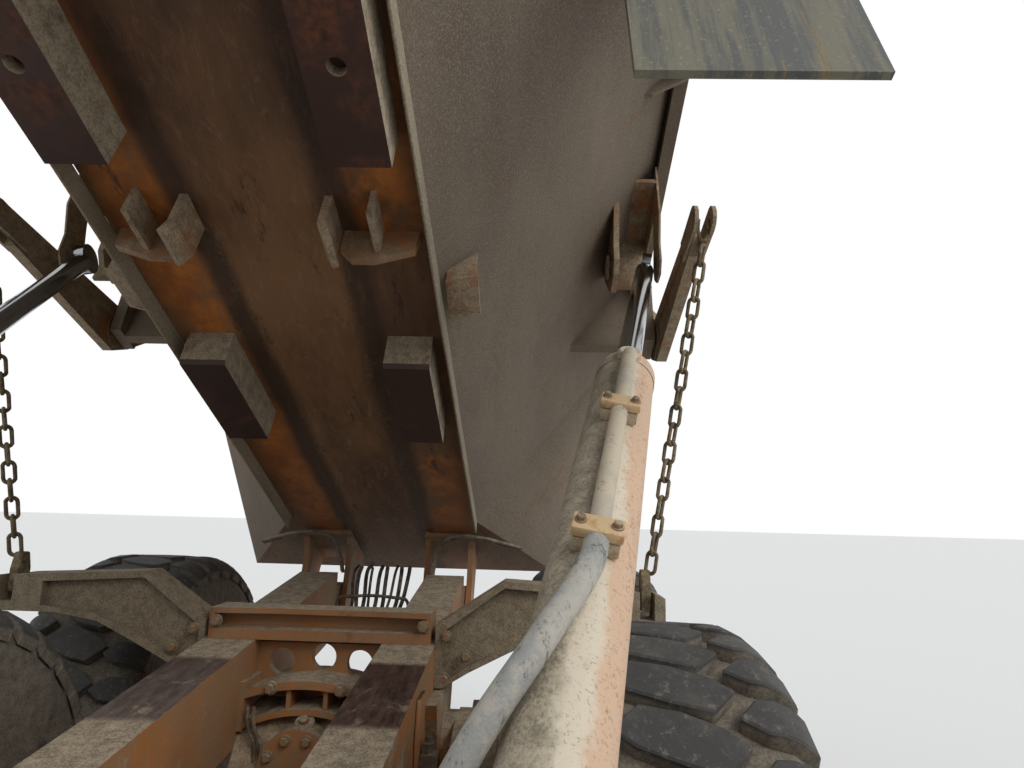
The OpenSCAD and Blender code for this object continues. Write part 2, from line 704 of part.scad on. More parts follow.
module hitch() {
    color(orange) at_rear() {
        bar_x(0, pivot_z, roll_r, neck_front + 5, bearing_front + play);
        difference() {
            union() {
                bar_x(0, pivot_z, bearing_r - 10, bearing_front + play, pivot_x - 240);
                slab_y(-170, 170) polygon([
                    [pivot_x - 300, pivot_z + yoke_out], [pivot_x, pivot_z + yoke_out],
                    [pivot_x, pivot_z + yoke_in], [pivot_x - 230, pivot_z + yoke_in],
                    [pivot_x - 230, pivot_z - yoke_in], [pivot_x, pivot_z - yoke_in],
                    [pivot_x, pivot_z - yoke_out], [pivot_x - 300, pivot_z - yoke_out]
                ]);
                for (s = [-1, 1]) translate([pivot_x, 0, pivot_z + s * (yoke_in + yoke_out) / 2])
                    cylinder(r = 170, h = yoke_out - yoke_in, center = true);
                // Ears that hold the feet of the steering cylinders
                both_sides() for (s = [-1, 1]) slab_z(pivot_z + s * (steer_eye_w / 2 + 24) - 16,
                    pivot_z + s * (steer_eye_w / 2 + 24) + 16) {
                        translate([pivot_x + steer_foot[0], steer_foot[1]]) circle(r = steer_boss_r);
                        polygon([
                            [pivot_x - 296, 120], [pivot_x - 296, 230], [pivot_x - 260, 270],
                            [pivot_x + steer_foot[0] - 22, steer_foot[1] + 47],
                            [pivot_x + steer_foot[0] - 14, steer_foot[1] - 50], [pivot_x - 234, 150],
                            [pivot_x - 234, 120]
                        ]);
                    }
                both_sides() translate([pivot_x + steer_foot[0], steer_foot[1], pivot_z])
                    cylinder(r = steer_pin2_r, h = steer_eye_w + 60, center = true);
            }
            translate([pivot_x, 0, pivot_z]) cylinder(r = steer_pin_r + fit, h = 900, center = true);
        }
    }
}

module along_steer(side) {
    v = steer_eye - steer_foot;
    at_rear() mirrored(side) translate([pivot_x + steer_foot[0], steer_foot[1], pivot_z])
        rotate([0, 90, atan2(v[1], v[0])]) children();
}
steer_l = norm(steer_eye - steer_foot);

module steer_barrel(side) {
    color(black) along_steer(side) difference() {
        union() {
            cylinder(r = 36, h = 160);
            translate([0, 0, 110]) cylinder(r = 54, h = 390);
            rotate([0, 90, 0]) cylinder(r = 50, h = steer_eye_w, center = true);
        }
        rotate([0, 90, 0]) cylinder(r = steer_pin2_r + fit, h = 90, center = true);
        translate([0, 0, 70]) cylinder(r = 30 + fit, h = 700);
    }
}

module steer_rod(side) {
    color(steel) along_steer(side) {
        translate([0, 0, 265]) cylinder(r = 30, h = steer_l - 265);
        translate([0, 0, steer_l]) rotate([0, 90, 0]) cylinder(r = 48, h = steer_eye_w, center = true);
    }
}

// Tractor

frame_top = 1080;
frame_end = nose - 330;
hood_hinge = [2480, 1120];
hood_pin_r = 20;
cab_post_x = [-420, 860];

module front_frame() {
    z = pivot_z;
    color(orange) {
        at_rear() {
            translate([pivot_x, 0, z]) rotate_extrude() polygon([
                [0, play - yoke_in], [165, play - yoke_in], [165, -110], [105, -80], [105, 80],
                [165, 110], [165, yoke_in - play], [0, yoke_in - play]
            ]);
            translate([pivot_x, 0, z]) cylinder(r = steer_pin_r, h = 2 * yoke_out, center = true);
            slab_z(z - 200, frame_top) polygon([
                [pivot_x + 40, 110], [pivot_x + 280, 150], [pivot_x + 420, 200], [pivot_x + 740, 200],
                [pivot_x + 760, 260], [pivot_x + 810, 260], [pivot_x + 810, -260], [pivot_x + 760, -260],
                [pivot_x + 740, -200], [pivot_x + 420, -200], [pivot_x + 280, -150], [pivot_x + 40, -110]
            ]);
            // Ears that the steering rods' eyes run between
            for (s = [-1, 1]) slab_z(z + s * (steer_eye_w / 2 + 24) - 14, z + s * (steer_eye_w / 2 + 24) + 14)
                both_sides() {
                    translate([pivot_x + steer_eye[0], steer_eye[1]]) circle(r = steer_boss_r);
                    polygon([
                        [pivot_x + 715, 180], [pivot_x + steer_eye[0] - 8, steer_eye[1] - 51],
                        [pivot_x + steer_eye[0] + 46, steer_eye[1] + 24], [pivot_x + 805, 250], [pivot_x + 805, 180]
                    ]);
                }
        }
        at_tractor() {
            both_sides() slab_y(232, 302) polygon([
                [-450, 680], [-400, 680], [-330, 925], [330, 925], [400, 680], [frame_end, 680],
                [frame_end, frame_top], [-450, frame_top]
            ]);
            for (x = [450, 1300, frame_end - 60]) block(x, x + 60, -235, 235, 760, 1040);
            // Lugs and pins of the hood's hinge
            both_sides() {
                slab_y(250, 290) polygon([
                    [hood_hinge[0] - 220, frame_top - 10], [hood_hinge[0] - 120, frame_top - 10],
                    [hood_hinge[0] + 30, hood_hinge[1] - 30], [hood_hinge[0] + 30, hood_hinge[1] + 30],
                    [hood_hinge[0] - 30, hood_hinge[1] + 30]
                ]);
                bar_y(hood_hinge[0], hood_hinge[1], hood_pin_r, 250, 360);
            }
            // Brackets of the tanks and the steps
            for (x = [1480, 1880]) both_sides() block(x, x + 60, 295, 660 - seat, 720, 800);
            both_sides() block(1150, 1210, 295, 1060 - seat, 820, 900);
        }
    }
}

// Beams laid across the frame's rails, and a post at each end of them under the cab
module cab_posts() {
    color(orange) at_tractor() for (x = cab_post_x) {
        block(x - 50, x + 50, -640, 640, frame_top + seat, frame_top + 90);
        both_sides() block(x - 50, x + 50, 540, 640, frame_top + 90 + seat, cab_floor - seat);
    }
}

module engine() { color(black) at_tractor() block(1150, 2250, -380, 380, frame_top + seat, 1900); }

hood_front = 2570;

module hood() {
    color(orange) at_tractor() {
        difference() {
            slab_y(-640, 640) polygon([
                [1080, 1500], [1080, 2360], [1250, 2400], [2535, 2020], [hood_front, 1900], [hood_front, 1180], [1900, 1180]
            ]);
            slab_y(-600, 600) polygon([
                [1000, 1400], [1000, 2320], [1250, 2360], [2505, 1990], [2530, 1900], [2530, 1100], [1880, 1100]
            ]);
        }
        both_sides() difference() {
            slab_y(310, 345) polygon([
                [hood_hinge[0] - 40, hood_hinge[1] - 40], [hood_hinge[0] + 40, hood_hinge[1] - 40],
                [2540, 1200], [2540, 1320], [hood_hinge[0] - 40, hood_hinge[1] + 60]
            ]);
            bar_y(hood_hinge[0], hood_hinge[1], hood_pin_r + fit, 300, 350);
        }
    }
}

module grille() {
    color(black) at_tractor() union() {
        block(hood_front + seat, hood_front + 30, -520, 520, 1200, 1230);
        block(hood_front + seat, hood_front + 30, -520, 520, 1800, 1830);
        for (i = [0 : 12]) block(hood_front + seat, hood_front + 25, -520 + i * 84, -500 + i * 84, 1200, 1830);
    }
}

// Side outline of the cab, drawn in from its skin by i
function cab_outline(i) = [
    [-560 + i, cab_floor + i], [1020 - i, cab_floor + i], [1020 - i, 2300], [800 - i, cab_top - 160],
    [650 - i, cab_top - i], [-480 + i, cab_top - i], [-560 + i, cab_top - 120]
];
door_pin_y = 22;
door_x0 = -180;
door_x1 = 620;

// Floor, front, roof and rear of the cab in one hoop, with the windows cut
module cab_body() {
    color(orange) at_tractor() difference() {
        slab_y(-cab_hw + cab_t + seat, cab_hw - cab_t - seat) polygon(cab_outline(0));
        slab_y(-cab_hw, cab_hw) polygon(cab_outline(cab_t));
        block(-600, -480, -cab_hw + 120, cab_hw - 120, 2380, cab_top - 260);
        block(700, 1100, -cab_hw + 110, cab_hw - 110, 2360, cab_top - 280);
    }
}

module cab_sides() {
    color(orange) at_tractor() {
        difference() {
            both_sides() slab_y(cab_hw - cab_t, cab_hw) polygon(cab_outline(0));
            block(door_x0, door_x1, cab_hw - cab_t - 5, cab_hw + 5, cab_floor + 100, cab_top - 220);
            block(-420, 560, -cab_hw - 5, -cab_hw + cab_t + 5, 2380, cab_top - 260);
            block(-460, door_x0 - 60, cab_hw - cab_t - 5, cab_hw + 5, 2380, cab_top - 260);
        }
        // Hinge pins of the door, on lugs
        for (z = [1900, 3000]) {
            block(door_x0 - 60, door_x0 + 4, cab_hw - 5, cab_hw + door_pin_y + 14, z - 30, z);
            translate([door_x0 - 10, cab_hw + door_pin_y, z - 10]) cylinder(r = 9, h = 72);
        }
    }
}

module cab_door() {
    color(orange) at_tractor() {
        difference() {
            block(door_x0 + play, door_x1 - play, cab_hw - cab_t, cab_hw, cab_floor + 100 + play, cab_top - 220 - play);
            block(door_x0 + 90, door_x1 - 90, cab_hw - cab_t - 5, cab_hw + 5, 2300, cab_top - 320);
        }
        for (z = [1900, 3000]) difference() {
            union() {
                translate([door_x0 - 10, cab_hw + door_pin_y, z + play]) cylinder(r = 16, h = 50 - play);
                block(door_x0 - 10, door_x0 + 60, cab_hw + 10, cab_hw + door_pin_y + 14, z + play, z + 50);
            }
            translate([door_x0 - 10, cab_hw + door_pin_y, z - 10]) cylinder(r = 9 + fit, h = 90);
        }
        for (z = [1900, 3000]) block(door_x0 + play + 4, door_x0 + 60, cab_hw - 5, cab_hw + 12, z + play, z + 50);
    }
}

module cab_glass() {
    color([0.3, 0.35, 0.38]) at_tractor() {
        block(-420 + seat, 560 - seat, -cab_hw + 20, -cab_hw + 28, 2380 + seat, cab_top - 260 - seat);
        block(-460 + seat, door_x0 - 60 - seat, cab_hw - 28, cab_hw - 20, 2380 + seat, cab_top - 260 - seat);
        block(-540, -532, -cab_hw + 120 + seat, cab_hw - 120 - seat, 2380 + seat, cab_top - 260 - seat);
    }
}

module cab_interior() {
    color(black) at_tractor() {
        block(-100, 400, -260, 260, cab_floor + cab_t + seat, cab_floor + 480);
        block(-160, -40, -250, 250, cab_floor + 440, cab_floor + 1150);
        block(640, 900, -700, 700, cab_floor + cab_t + seat, cab_floor + 700);
    }
}

fender_r = tyre_r + 90;

// Points on a circle about the origin, from angle a0 to a1
function arc(r, a0, a1, n) = [for (i = [0 : n]) let (a = a0 + (a1 - a0) * i / n) [r * cos(a), r * sin(a)]];

module fenders() {
    color(orange) at_tractor() translate([0, 0, axle_z]) both_sides()
        slab_y(cab_hw + seat, wheel_y + 300) polygon(concat(arc(fender_r + 22, 22, 158, 16), arc(fender_r, 158, 22, 16)));
}

module steps() {
    color(black) at_tractor() both_sides() {
        for (x = [1000, 1320]) block(x, x + 30, 1060, 1110, 450, 1600);
        for (k = [0 : 3]) block(1000, 1350, 1080, 1260, 450 + k * 300, 480 + k * 300);
        block(1000, 1350, 1060, 1090, 810, 910);
    }
}

tow_pin_r = 22;
module bumper() {
    color(black) at_tractor() difference() {
        slab_z(560, 1020) polygon([
            [nose, 900], [nose, -900], [nose - 160, -1200], [frame_end + seat, -1200], [frame_end + seat, 1200],
            [nose - 160, 1200]
        ]);
        // Mouth of the tow coupling and the bore of its pin
        block(nose - 130, nose + 5, -90, 90, 720, 860);
        translate([nose - 60, 0, 500]) cylinder(r = tow_pin_r, h = 600);
    }
}

module headlamps() {
    color(steel) at_tractor() both_sides() block(hood_front + seat, hood_front + 40, 530, 630, 1250, 1400);
}

module mirrors() {
    color(black) at_tractor() both_sides() {
        bar_y(860, 2700, 16, cab_hw + seat, 1200);
        block(830, 890, 1150, 1380, 2450, 2950);
    }
}

module tanks() {
    color(black) at_tractor() {
        block(1400, 2200, -1150, -660, 640, 1140);
        block(1400, 2000, 660, 1020, 640, 1140);
    }
}

module exhaust() {
    color(dark) at_tractor() union() {
        translate([1180, -730, 1700]) cylinder(r = 65, h = 1300);
        for (z = [1800, 2200]) block(1020 + seat, 1150, -760, -700, z, z + 60);
    }
}

// Wheels

module at_wheel(x, side) {
    at_rear() translate([x, side * wheel_y, axle_z]) rotate([side > 0 ? -90 : 90, 0, 0]) children();
}

// Rings of the tyre from bead to bead: a lug's radius, the groove's radius, distance from the
// middle plane, and turn in lugs
tyre_bore = (rim_r + seat) / cos(0.55 * 360 / lug_count);
bulge_r = 590;
tyre_rings = let (w = tyre_w / 2, r = tyre_r, d = lug_depth) [
    [tyre_bore, tyre_bore, -w + 80, 0], [bulge_r, bulge_r, -w, 0], [r - 70, r - 85, -w + 12, 0],
    [r, r - d, -w + 75, 0], [r, r - d, -45, 0.15], [r, r - d, 45, 0.35],
    [r, r - d, w - 75, 0.5], [r - 70, r - 85, w - 12, 0.5], [bulge_r, bulge_r, w, 0.5],
    [tyre_bore, tyre_bore, w - 80, 0.5]
];
// Where a lug starts and ends and the groove is deepest, as parts of the pitch
lug_steps = [0, 0.6, 0.8];

module tyre(x, side) {
    n = 3 * lug_count;
    m = len(tyre_rings);
    color(black) at_wheel(x, side) polyhedron(
        points = [for (ring = tyre_rings) for (k = [0 : lug_count - 1]) for (i = [0 : 2])
            let (a = (k + lug_steps[i] + ring[3]) * 360 / lug_count, r = i < 2 ? ring[0] : ring[1])
            [r * cos(a), r * sin(a), ring[2]]],
        faces = [for (j = [0 : m - 1]) for (i = [0 : n - 1]) for (t = [0, 1])
            let (a = j * n + i, b = j * n + (i + 1) % n, c = (j + 1) % m * n + i, d = (j + 1) % m * n + (i + 1) % n)
            t == 0 ? [a, c, b] : [b, c, d]]
    );
}

module rim(x, side) {
    w = tyre_w / 2;
    color(orange) at_wheel(x, side) rotate_extrude($fn = 64) polygon([
        [spindle_r + fit, 20], [rim_r - 60, 20], [rim_r - rim_wall, -w + 74], [rim_r - rim_wall, -w + 50],
        [rim_r + 40, -w + 50], [rim_r + 40, -w + 66], [rim_r, -w + 80 - 2 * seat],
        [rim_r, w - 80 + 2 * seat], [rim_r + 40, w - 66], [rim_r + 40, w - 50],
        [rim_r - rim_wall, w - 50], [rim_r - rim_wall, w - 74], [rim_r - 60, 60], [hub_r, 100],
        [hub_r - 20, 190], [0, 200], [0, 100], [spindle_r + fit, 96]
    ]);
}

rear_frame();
crossbar();
chain_arms();
bogie_bracket();
bogie_beams();
mid_axle();
rear_axle();
drive_shafts();
bed_floor();
bed_walls();
bed_rails();
bed_runners();
guide_brackets();
hinge_arms();
hoist_brackets();
gate_brackets();
mud_flaps();
tailgate();
gate_arms();
chain(1);  // chain_left
chain(-1);  // chain_right
hoist_barrel(1);  // hoist_barrel_left
hoist_barrel(-1);  // hoist_barrel_right
hoist_rod(1);  // hoist_rod_left
hoist_rod(-1);  // hoist_rod_right
hitch();
steer_barrel(1);  // steer_barrel_left
steer_barrel(-1);  // steer_barrel_right
steer_rod(1);  // steer_rod_left
steer_rod(-1);  // steer_rod_right
front_frame();
front_axle();
engine();
hood();
grille();
cab_posts();
cab_body();
cab_sides();
cab_door();
cab_glass();
cab_interior();
fenders();
steps();
bumper();
headlamps();
mirrors();
tanks();
exhaust();
rim(front_x, 1);  // rim_front_left
rim(front_x, -1);  // rim_front_right
rim(mid_x, 1);  // rim_mid_left
rim(mid_x, -1);  // rim_mid_right
rim(-mid_x, 1);  // rim_rear_left
rim(-mid_x, -1);  // rim_rear_right
tyre(front_x, 1);  // tyre_front_left
tyre(front_x, -1);  // tyre_front_right
tyre(mid_x, 1);  // tyre_mid_left
tyre(mid_x, -1);  // tyre_mid_right
tyre(-mid_x, 1);  // tyre_rear_left
tyre(-mid_x, -1);  // tyre_rear_right
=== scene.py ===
"""The look of a six-wheel articulated dump truck that stands with its bed partly raised."""

import math

import bpy
from mathutils import Matrix, Vector


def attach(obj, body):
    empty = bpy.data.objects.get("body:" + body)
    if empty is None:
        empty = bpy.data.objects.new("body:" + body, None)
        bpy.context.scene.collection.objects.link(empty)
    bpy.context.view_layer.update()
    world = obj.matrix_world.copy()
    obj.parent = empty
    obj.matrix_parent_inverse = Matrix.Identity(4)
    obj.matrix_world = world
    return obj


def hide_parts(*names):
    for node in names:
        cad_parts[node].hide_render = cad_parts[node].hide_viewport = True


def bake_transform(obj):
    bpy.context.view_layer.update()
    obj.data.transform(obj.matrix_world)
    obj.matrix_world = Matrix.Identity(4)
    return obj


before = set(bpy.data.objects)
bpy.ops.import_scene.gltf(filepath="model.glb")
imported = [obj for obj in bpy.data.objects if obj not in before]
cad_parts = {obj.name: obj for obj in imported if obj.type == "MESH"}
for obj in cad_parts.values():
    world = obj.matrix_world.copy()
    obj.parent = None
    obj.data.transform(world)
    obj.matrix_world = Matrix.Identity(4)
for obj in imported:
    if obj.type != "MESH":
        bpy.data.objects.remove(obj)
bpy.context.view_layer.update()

# Camera and daylight
# The picture was taken from behind the cab, low under the raised bed, looking to the rear
# with the lens held slightly up and a little out of level, on a bright day under cloud.
EYE = Vector((0.585, 0.793, 1.924))
HEADING, PITCH, LEAN = math.radians(-1.797), math.radians(9.693), math.radians(1.526)
FOCAL, SENSOR = 24.43, 36.0

bpy.ops.object.select_all(action="DESELECT")
bpy.ops.object.camera_add(location=EYE)
eye = bpy.context.object
eye.name = "eye"
ahead = Vector((-math.cos(HEADING) * math.cos(PITCH), math.sin(HEADING) * math.cos(PITCH), math.sin(PITCH)))
across = Vector((math.sin(HEADING), math.cos(HEADING), 0.0))
above = across.cross(ahead)
right = math.cos(LEAN) * across + math.sin(LEAN) * above
up = math.cos(LEAN) * above - math.sin(LEAN) * across
turn = Matrix((right, up, -ahead)).transposed()
eye.matrix_world = Matrix.Translation(EYE) @ turn.to_4x4()
eye.data.lens, eye.data.sensor_width = FOCAL, SENSOR
eye.data.clip_start, eye.data.clip_end = 0.05, 200.0
bpy.context.scene.camera = eye
bpy.context.scene.view_settings.view_transform = "Standard"

SKY = (0.92, 0.96, 1.0, 1.0)
SKY_LIGHT, SUN_LIGHT = 0.72, 1.5
world = bpy.data.worlds.new("cloudy sky")
bpy.context.scene.world = world
world.use_nodes = True
sky = world.node_tree
light = sky.nodes["Background"]
light.inputs["Color"].default_value = SKY
light.inputs["Strength"].default_value = SKY_LIGHT
seen = sky.nodes.new("ShaderNodeBackground")
seen.inputs["Color"].default_value = (1.0, 1.0, 1.0, 1.0)
ray = sky.nodes.new("ShaderNodeLightPath")
either = sky.nodes.new("ShaderNodeMath")
either.operation = "MAXIMUM"
sky.links.new(ray.outputs["Is Glossy Ray"], either.inputs[0])
sky.links.new(ray.outputs["Is Transmission Ray"], either.inputs[1])
any_of = sky.nodes.new("ShaderNodeMath")
any_of.operation = "MAXIMUM"
sky.links.new(ray.outputs["Is Camera Ray"], any_of.inputs[0])
sky.links.new(either.outputs[0], any_of.inputs[1])
blend = sky.nodes.new("ShaderNodeMixShader")
sky.links.new(any_of.outputs[0], blend.inputs[0])
sky.links.new(light.outputs[0], blend.inputs[1])
sky.links.new(seen.outputs[0], blend.inputs[2])
sky.links.new(blend.outputs[0], sky.nodes["World Output"].inputs["Surface"])

SUN_TURN = (math.radians(-32), math.radians(38), 0.0)
bpy.ops.object.light_add(type="SUN", location=(4.0, 6.0, 9.0), rotation=SUN_TURN)
sun = bpy.context.object
sun.name = "daylight"
sun.data.energy, sun.data.angle = SUN_LIGHT, math.radians(35)

# Floor
# A plain pale yard, wide enough to reach past every view of the truck.
YARD = 120.0
bpy.ops.object.select_all(action="DESELECT")
bpy.ops.mesh.primitive_plane_add(size=YARD, location=(0.0, 0.0, -0.001))
yard = bpy.context.object
yard.name = "yard"
bpy.ops.object.transform_apply(location=True, rotation=True, scale=True)
yard_finish = bpy.data.materials.new("pale yard")
yard_finish.use_nodes = True
yard_skin = yard_finish.node_tree.nodes["Principled BSDF"]
yard_skin.inputs["Base Color"].default_value = (0.74, 0.73, 0.71, 1.0)
yard_skin.inputs["Roughness"].default_value = 0.9
yard.data.materials.append(yard_finish)

# Rear chassis
# Welded box rails, a bolted beam, a cast cross member and the bogie's beams and axles, all
# in orange-yellow machine paint that is worn, muddy on top and rubbed bare where the bed rests.


def colour(red, green, blue):
    """A colour as read off the truck, made linear."""
    return tuple(((c / 255 + 0.055) / 1.055) ** 2.4 for c in (red, green, blue)) + (1.0,)


class Level:
    """A value that varies over a surface, with Python's own arithmetic."""

    def __init__(self, finish, socket):
        self.finish, self.socket = finish, socket

    def math(self, operation, first, second=0.0):
        return self.finish.node("Math", {"operation": operation}, {0: first, 1: second})

    def __add__(self, other):
        return self.math("ADD", self, other)

    def __sub__(self, other):
        return self.math("SUBTRACT", self, other)

    def __rsub__(self, other):
        return self.math("SUBTRACT", other, self)

    def __mul__(self, other):
        return self.math("MULTIPLY", self, other)

    __radd__, __rmul__ = __add__, __mul__

    def size(self):
        return self.math("ABSOLUTE", self)

    def root(self):
        return self.math("SQRT", self)

    def most(self, other):
        return self.math("MAXIMUM", self, other)

    def step(self, low, high):
        """0 below low and 1 above high, or the other way round if low is the greater."""
        return self.finish.node("MapRange", {"interpolation_type": "SMOOTHSTEP"},
                                {"Value": self, "From Min": low, "From Max": high})


class Finish:
    """A finish built up in coats, from the lowest outwards."""

    def __init__(self, name, base, rough=0.6, metal=0.0, shift=None, turn=None):
        self.material = bpy.data.materials.new(name)
        self.material.use_nodes = True
        self.tree = self.material.node_tree
        self.shader = self.tree.nodes["Principled BSDF"]
        self.base, self.rough, self.metal, self.height = base, rough, metal, 0.0
        self.place = self.node("TexCoord", {}, {}, "Object")
        self.facing = self.node("TexCoord", {}, {}, "Normal")
        if shift is not None:
            self.place = self.node("Mapping", {}, {"Vector": self.place, "Location": shift, "Rotation": turn})
            self.facing = self.node("Mapping", {}, {"Vector": self.facing, "Rotation": turn})

    def node(self, kind, settings, values, out=0):
        made = self.tree.nodes.new("ShaderNode" + kind)
        for name, value in settings.items():
            setattr(made, name, value)
        for name, value in values.items():
            if isinstance(value, Level):
                self.tree.links.new(value.socket, made.inputs[name])
            else:
                made.inputs[name].default_value = value
        return Level(self, made.outputs[out])

    def along(self, axis, what=None):
        return self.node("SeparateXYZ", {}, {0: what or self.place}, axis)

    def noise(self, scale, detail=3.0, rough=0.55, stretch=None, warp=0.0):
        """Cloudy noise of so many clouds a metre, drawn out along an axis by stretch."""
        place = self.place
        if stretch:
            place = self.node("VectorMath", {"operation": "MULTIPLY"}, {0: place, 1: stretch})
        return self.node("TexNoise", {}, {"Vector": place, "Scale": scale, "Detail": detail,
                                          "Roughness": rough, "Distortion": warp})

    def cells(self, scale):
        return self.node("TexVoronoi", {}, {"Vector": self.place, "Scale": scale}, "Distance")

    def shades(self, dark, pale, mask):
        return self.node("Mix", {"data_type": "RGBA"}, {0: mask, 6: dark, 7: pale}, 2)

    def coat(self, mask, base, rough=None, metal=None, height=0.0):
        """Lays one coat over those below where mask is 1, standing proud by height."""
        self.base = self.shades(self.base, base, mask)
        if rough is not None:
            self.rough = mask * rough + (1.0 - mask) * self.rough
        if metal is not None:
            self.metal = mask * metal + (1.0 - mask) * self.metal
        if not isinstance(height, float) or height:
            self.height = mask * height + self.height
        return self

    def done(self):
        coats = {"Base Color": self.base, "Roughness": self.rough, "Metallic": self.metal}
        for name, value in coats.items():
            if isinstance(value, Level):
                self.tree.links.new(value.socket, self.shader.inputs[name])
            else:
                self.shader.inputs[name].default_value = value
        if isinstance(self.height, Level):
            bump = self.node("Bump", {}, {"Height": self.height, "Distance": 1.0, "Strength": 1.0})
            self.tree.links.new(bump.socket, self.shader.inputs["Normal"])
        return self.material


def dried_mud(finish, mask, dark=colour(112, 98, 80), pale=colour(176, 160, 134), thick=0.004):
    """Spattered mud that has dried: a grainy skin with pale and dark flecks."""
    grain = finish.noise(150.0, 4.0, 0.7) * 0.6 + finish.noise(28.0, 3.0, 0.6) * 0.4
    finish.coat(mask, finish.shades(dark, pale, grain.step(0.36, 0.64)), 0.93, 0.0, grain * thick)


def rusty(finish, mask, dark=colour(70, 42, 28), bright=colour(142, 84, 44)):
    bloom = finish.noise(34.0, 5.0, 0.65).step(0.3, 0.7)
    finish.coat(mask, finish.shades(dark, bright, bloom), 0.88, 0.0, 0.0006)


def machine_paint(name, base=colour(196, 122, 48), mud=0.5, rust=0.4, top_mud=1.0, film=0.3, **where):
    """Orange-yellow paint with rust in patches, a film of dirt, and mud that lies on upward faces."""
    finish = Finish(name, base, 0.5, **where)
    fade = finish.noise(1.7, 4.0, 0.6)
    finish.base = finish.shades(base, tuple(0.6 * c for c in base[:3]) + (1.0,), fade.step(0.35, 0.75))
    streaks = finish.noise(5.0, 4.0, 0.6, (1.0, 1.0, 0.22))
    rusty(finish, streaks.step(0.78 - 0.3 * rust, 0.92 - 0.3 * rust))
    haze = finish.noise(2.6, 5.0, 0.65).step(0.3, 0.7) + finish.noise(70.0, 3.0, 0.7).step(0.42, 0.62)
    finish.coat(haze * film, colour(132, 114, 90), 0.85)
    upward = finish.along("Z", finish.facing).step(0.1, 0.75) * top_mud
    patches = finish.noise(3.2, 6.0, 0.72).step(0.76 - 0.4 * mud, 0.86 - 0.4 * mud)
    dried_mud(finish, upward.most(patches * 0.85))
    return finish


REAR_X = -2.225
chassis_paint = machine_paint("chassis paint", colour(182, 114, 52), mud=0.45, rust=0.7, film=0.5)
run = chassis_paint.along("X")
rail_top = chassis_paint.along("Z", chassis_paint.facing).step(0.8, 0.95)
rail_top = rail_top * chassis_paint.along("Z").step(1.2, 1.25)
bare = (run - (REAR_X + 0.52)).size().step(0.27, 0.22) * rail_top
bare = bare * chassis_paint.noise(7.0, 5.0, 0.7).step(0.3, 0.42)
scores = chassis_paint.noise(40.0, 5.0, 0.7, (0.2, 1.0, 1.0)).step(0.3, 0.75)
chassis_paint.coat(bare, chassis_paint.shades(colour(52, 38, 34), colour(112, 88, 76), scores), 0.45, 0.3)
chassis_finish = chassis_paint.done()


def dress(material, *nodes):
    """Gives CAD nodes their finish."""
    for node in nodes:
        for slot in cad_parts[node].material_slots:
            slot.material = material


dress(chassis_finish, "rear_frame", "crossbar", "bogie_bracket", "hitch")
bogie_finish = machine_paint("bogie paint", mud=0.8, rust=0.5, film=0.6).done()
dress(bogie_finish, "bogie_beams", "mid_axle", "rear_axle", "front_axle", "drive_shafts")

# Bolts, plugs and pipes of the chassis
# Painted hexagon bolts on washers hold the crossbar, the chain arms and the cast cross member.
# Two thin steel pipes run down beside the bogie's housing.
ROUND = math.radians(35)


def clear():
    bpy.ops.object.select_all(action="DESELECT")


def turned(name, profile, steps=24):
    """A turned part: a closed outline of (radius, height) swept round the Z axis."""
    clear()
    bpy.ops.mesh.primitive_circle_add(vertices=len(profile), fill_type="NOTHING")
    piece = bpy.context.object
    piece.name = name
    for vertex, (radius, height) in zip(piece.data.vertices, profile):
        vertex.co = (radius, 0.0, height)
    bpy.ops.object.mode_set(mode="EDIT")
    bpy.ops.mesh.select_all(action="SELECT")
    bpy.ops.mesh.spin(steps=steps, angle=2 * math.pi, center=(0, 0, 0), axis=(0, 0, 1))
    bpy.ops.mesh.select_all(action="SELECT")
    bpy.ops.mesh.remove_doubles(threshold=1e-5)
    bpy.ops.mesh.dissolve_degenerate(threshold=1e-5)
    bpy.ops.mesh.select_all(action="SELECT")
    bpy.ops.mesh.normals_make_consistent(inside=False)
    bpy.ops.object.mode_set(mode="OBJECT")
    bpy.ops.object.shade_smooth_by_angle(angle=ROUND)
    return piece


def cut_plate(name, corners, way):
    """A flat outline, cut from plate of a thickness."""
    clear()
    bpy.ops.mesh.primitive_circle_add(vertices=len(corners), fill_type="NGON")
    piece = bpy.context.object
    piece.name = name
    for vertex, corner in zip(piece.data.vertices, corners):
        vertex.co = corner
    bpy.ops.object.mode_set(mode="EDIT")
    bpy.ops.mesh.select_all(action="SELECT")
    bpy.ops.mesh.extrude_region_move(TRANSFORM_OT_translate={"value": tuple(way)})
    bpy.ops.mesh.select_all(action="SELECT")
    bpy.ops.mesh.normals_make_consistent(inside=False)
    bpy.ops.object.mode_set(mode="OBJECT")
    return piece


def block(name, low, high):
    (x0, y0, z0), (x1, y1, z1) = low, high
    return cut_plate(name, [(x0, y0, z0), (x1, y0, z0), (x1, y1, z0), (x0, y1, z0)], (0, 0, z1 - z0))


def ease(piece, width, steps=2):
    """Rounds a piece's hard edges."""
    clear()
    piece.select_set(True)
    bpy.context.view_layer.objects.active = piece
    edge = piece.modifiers.new("eased", "BEVEL")
    edge.width, edge.segments, edge.limit_method = width, steps, "ANGLE"
    bpy.ops.object.modifier_apply(modifier=edge.name)
    bpy.ops.object.shade_smooth_by_angle(angle=ROUND)
    return piece


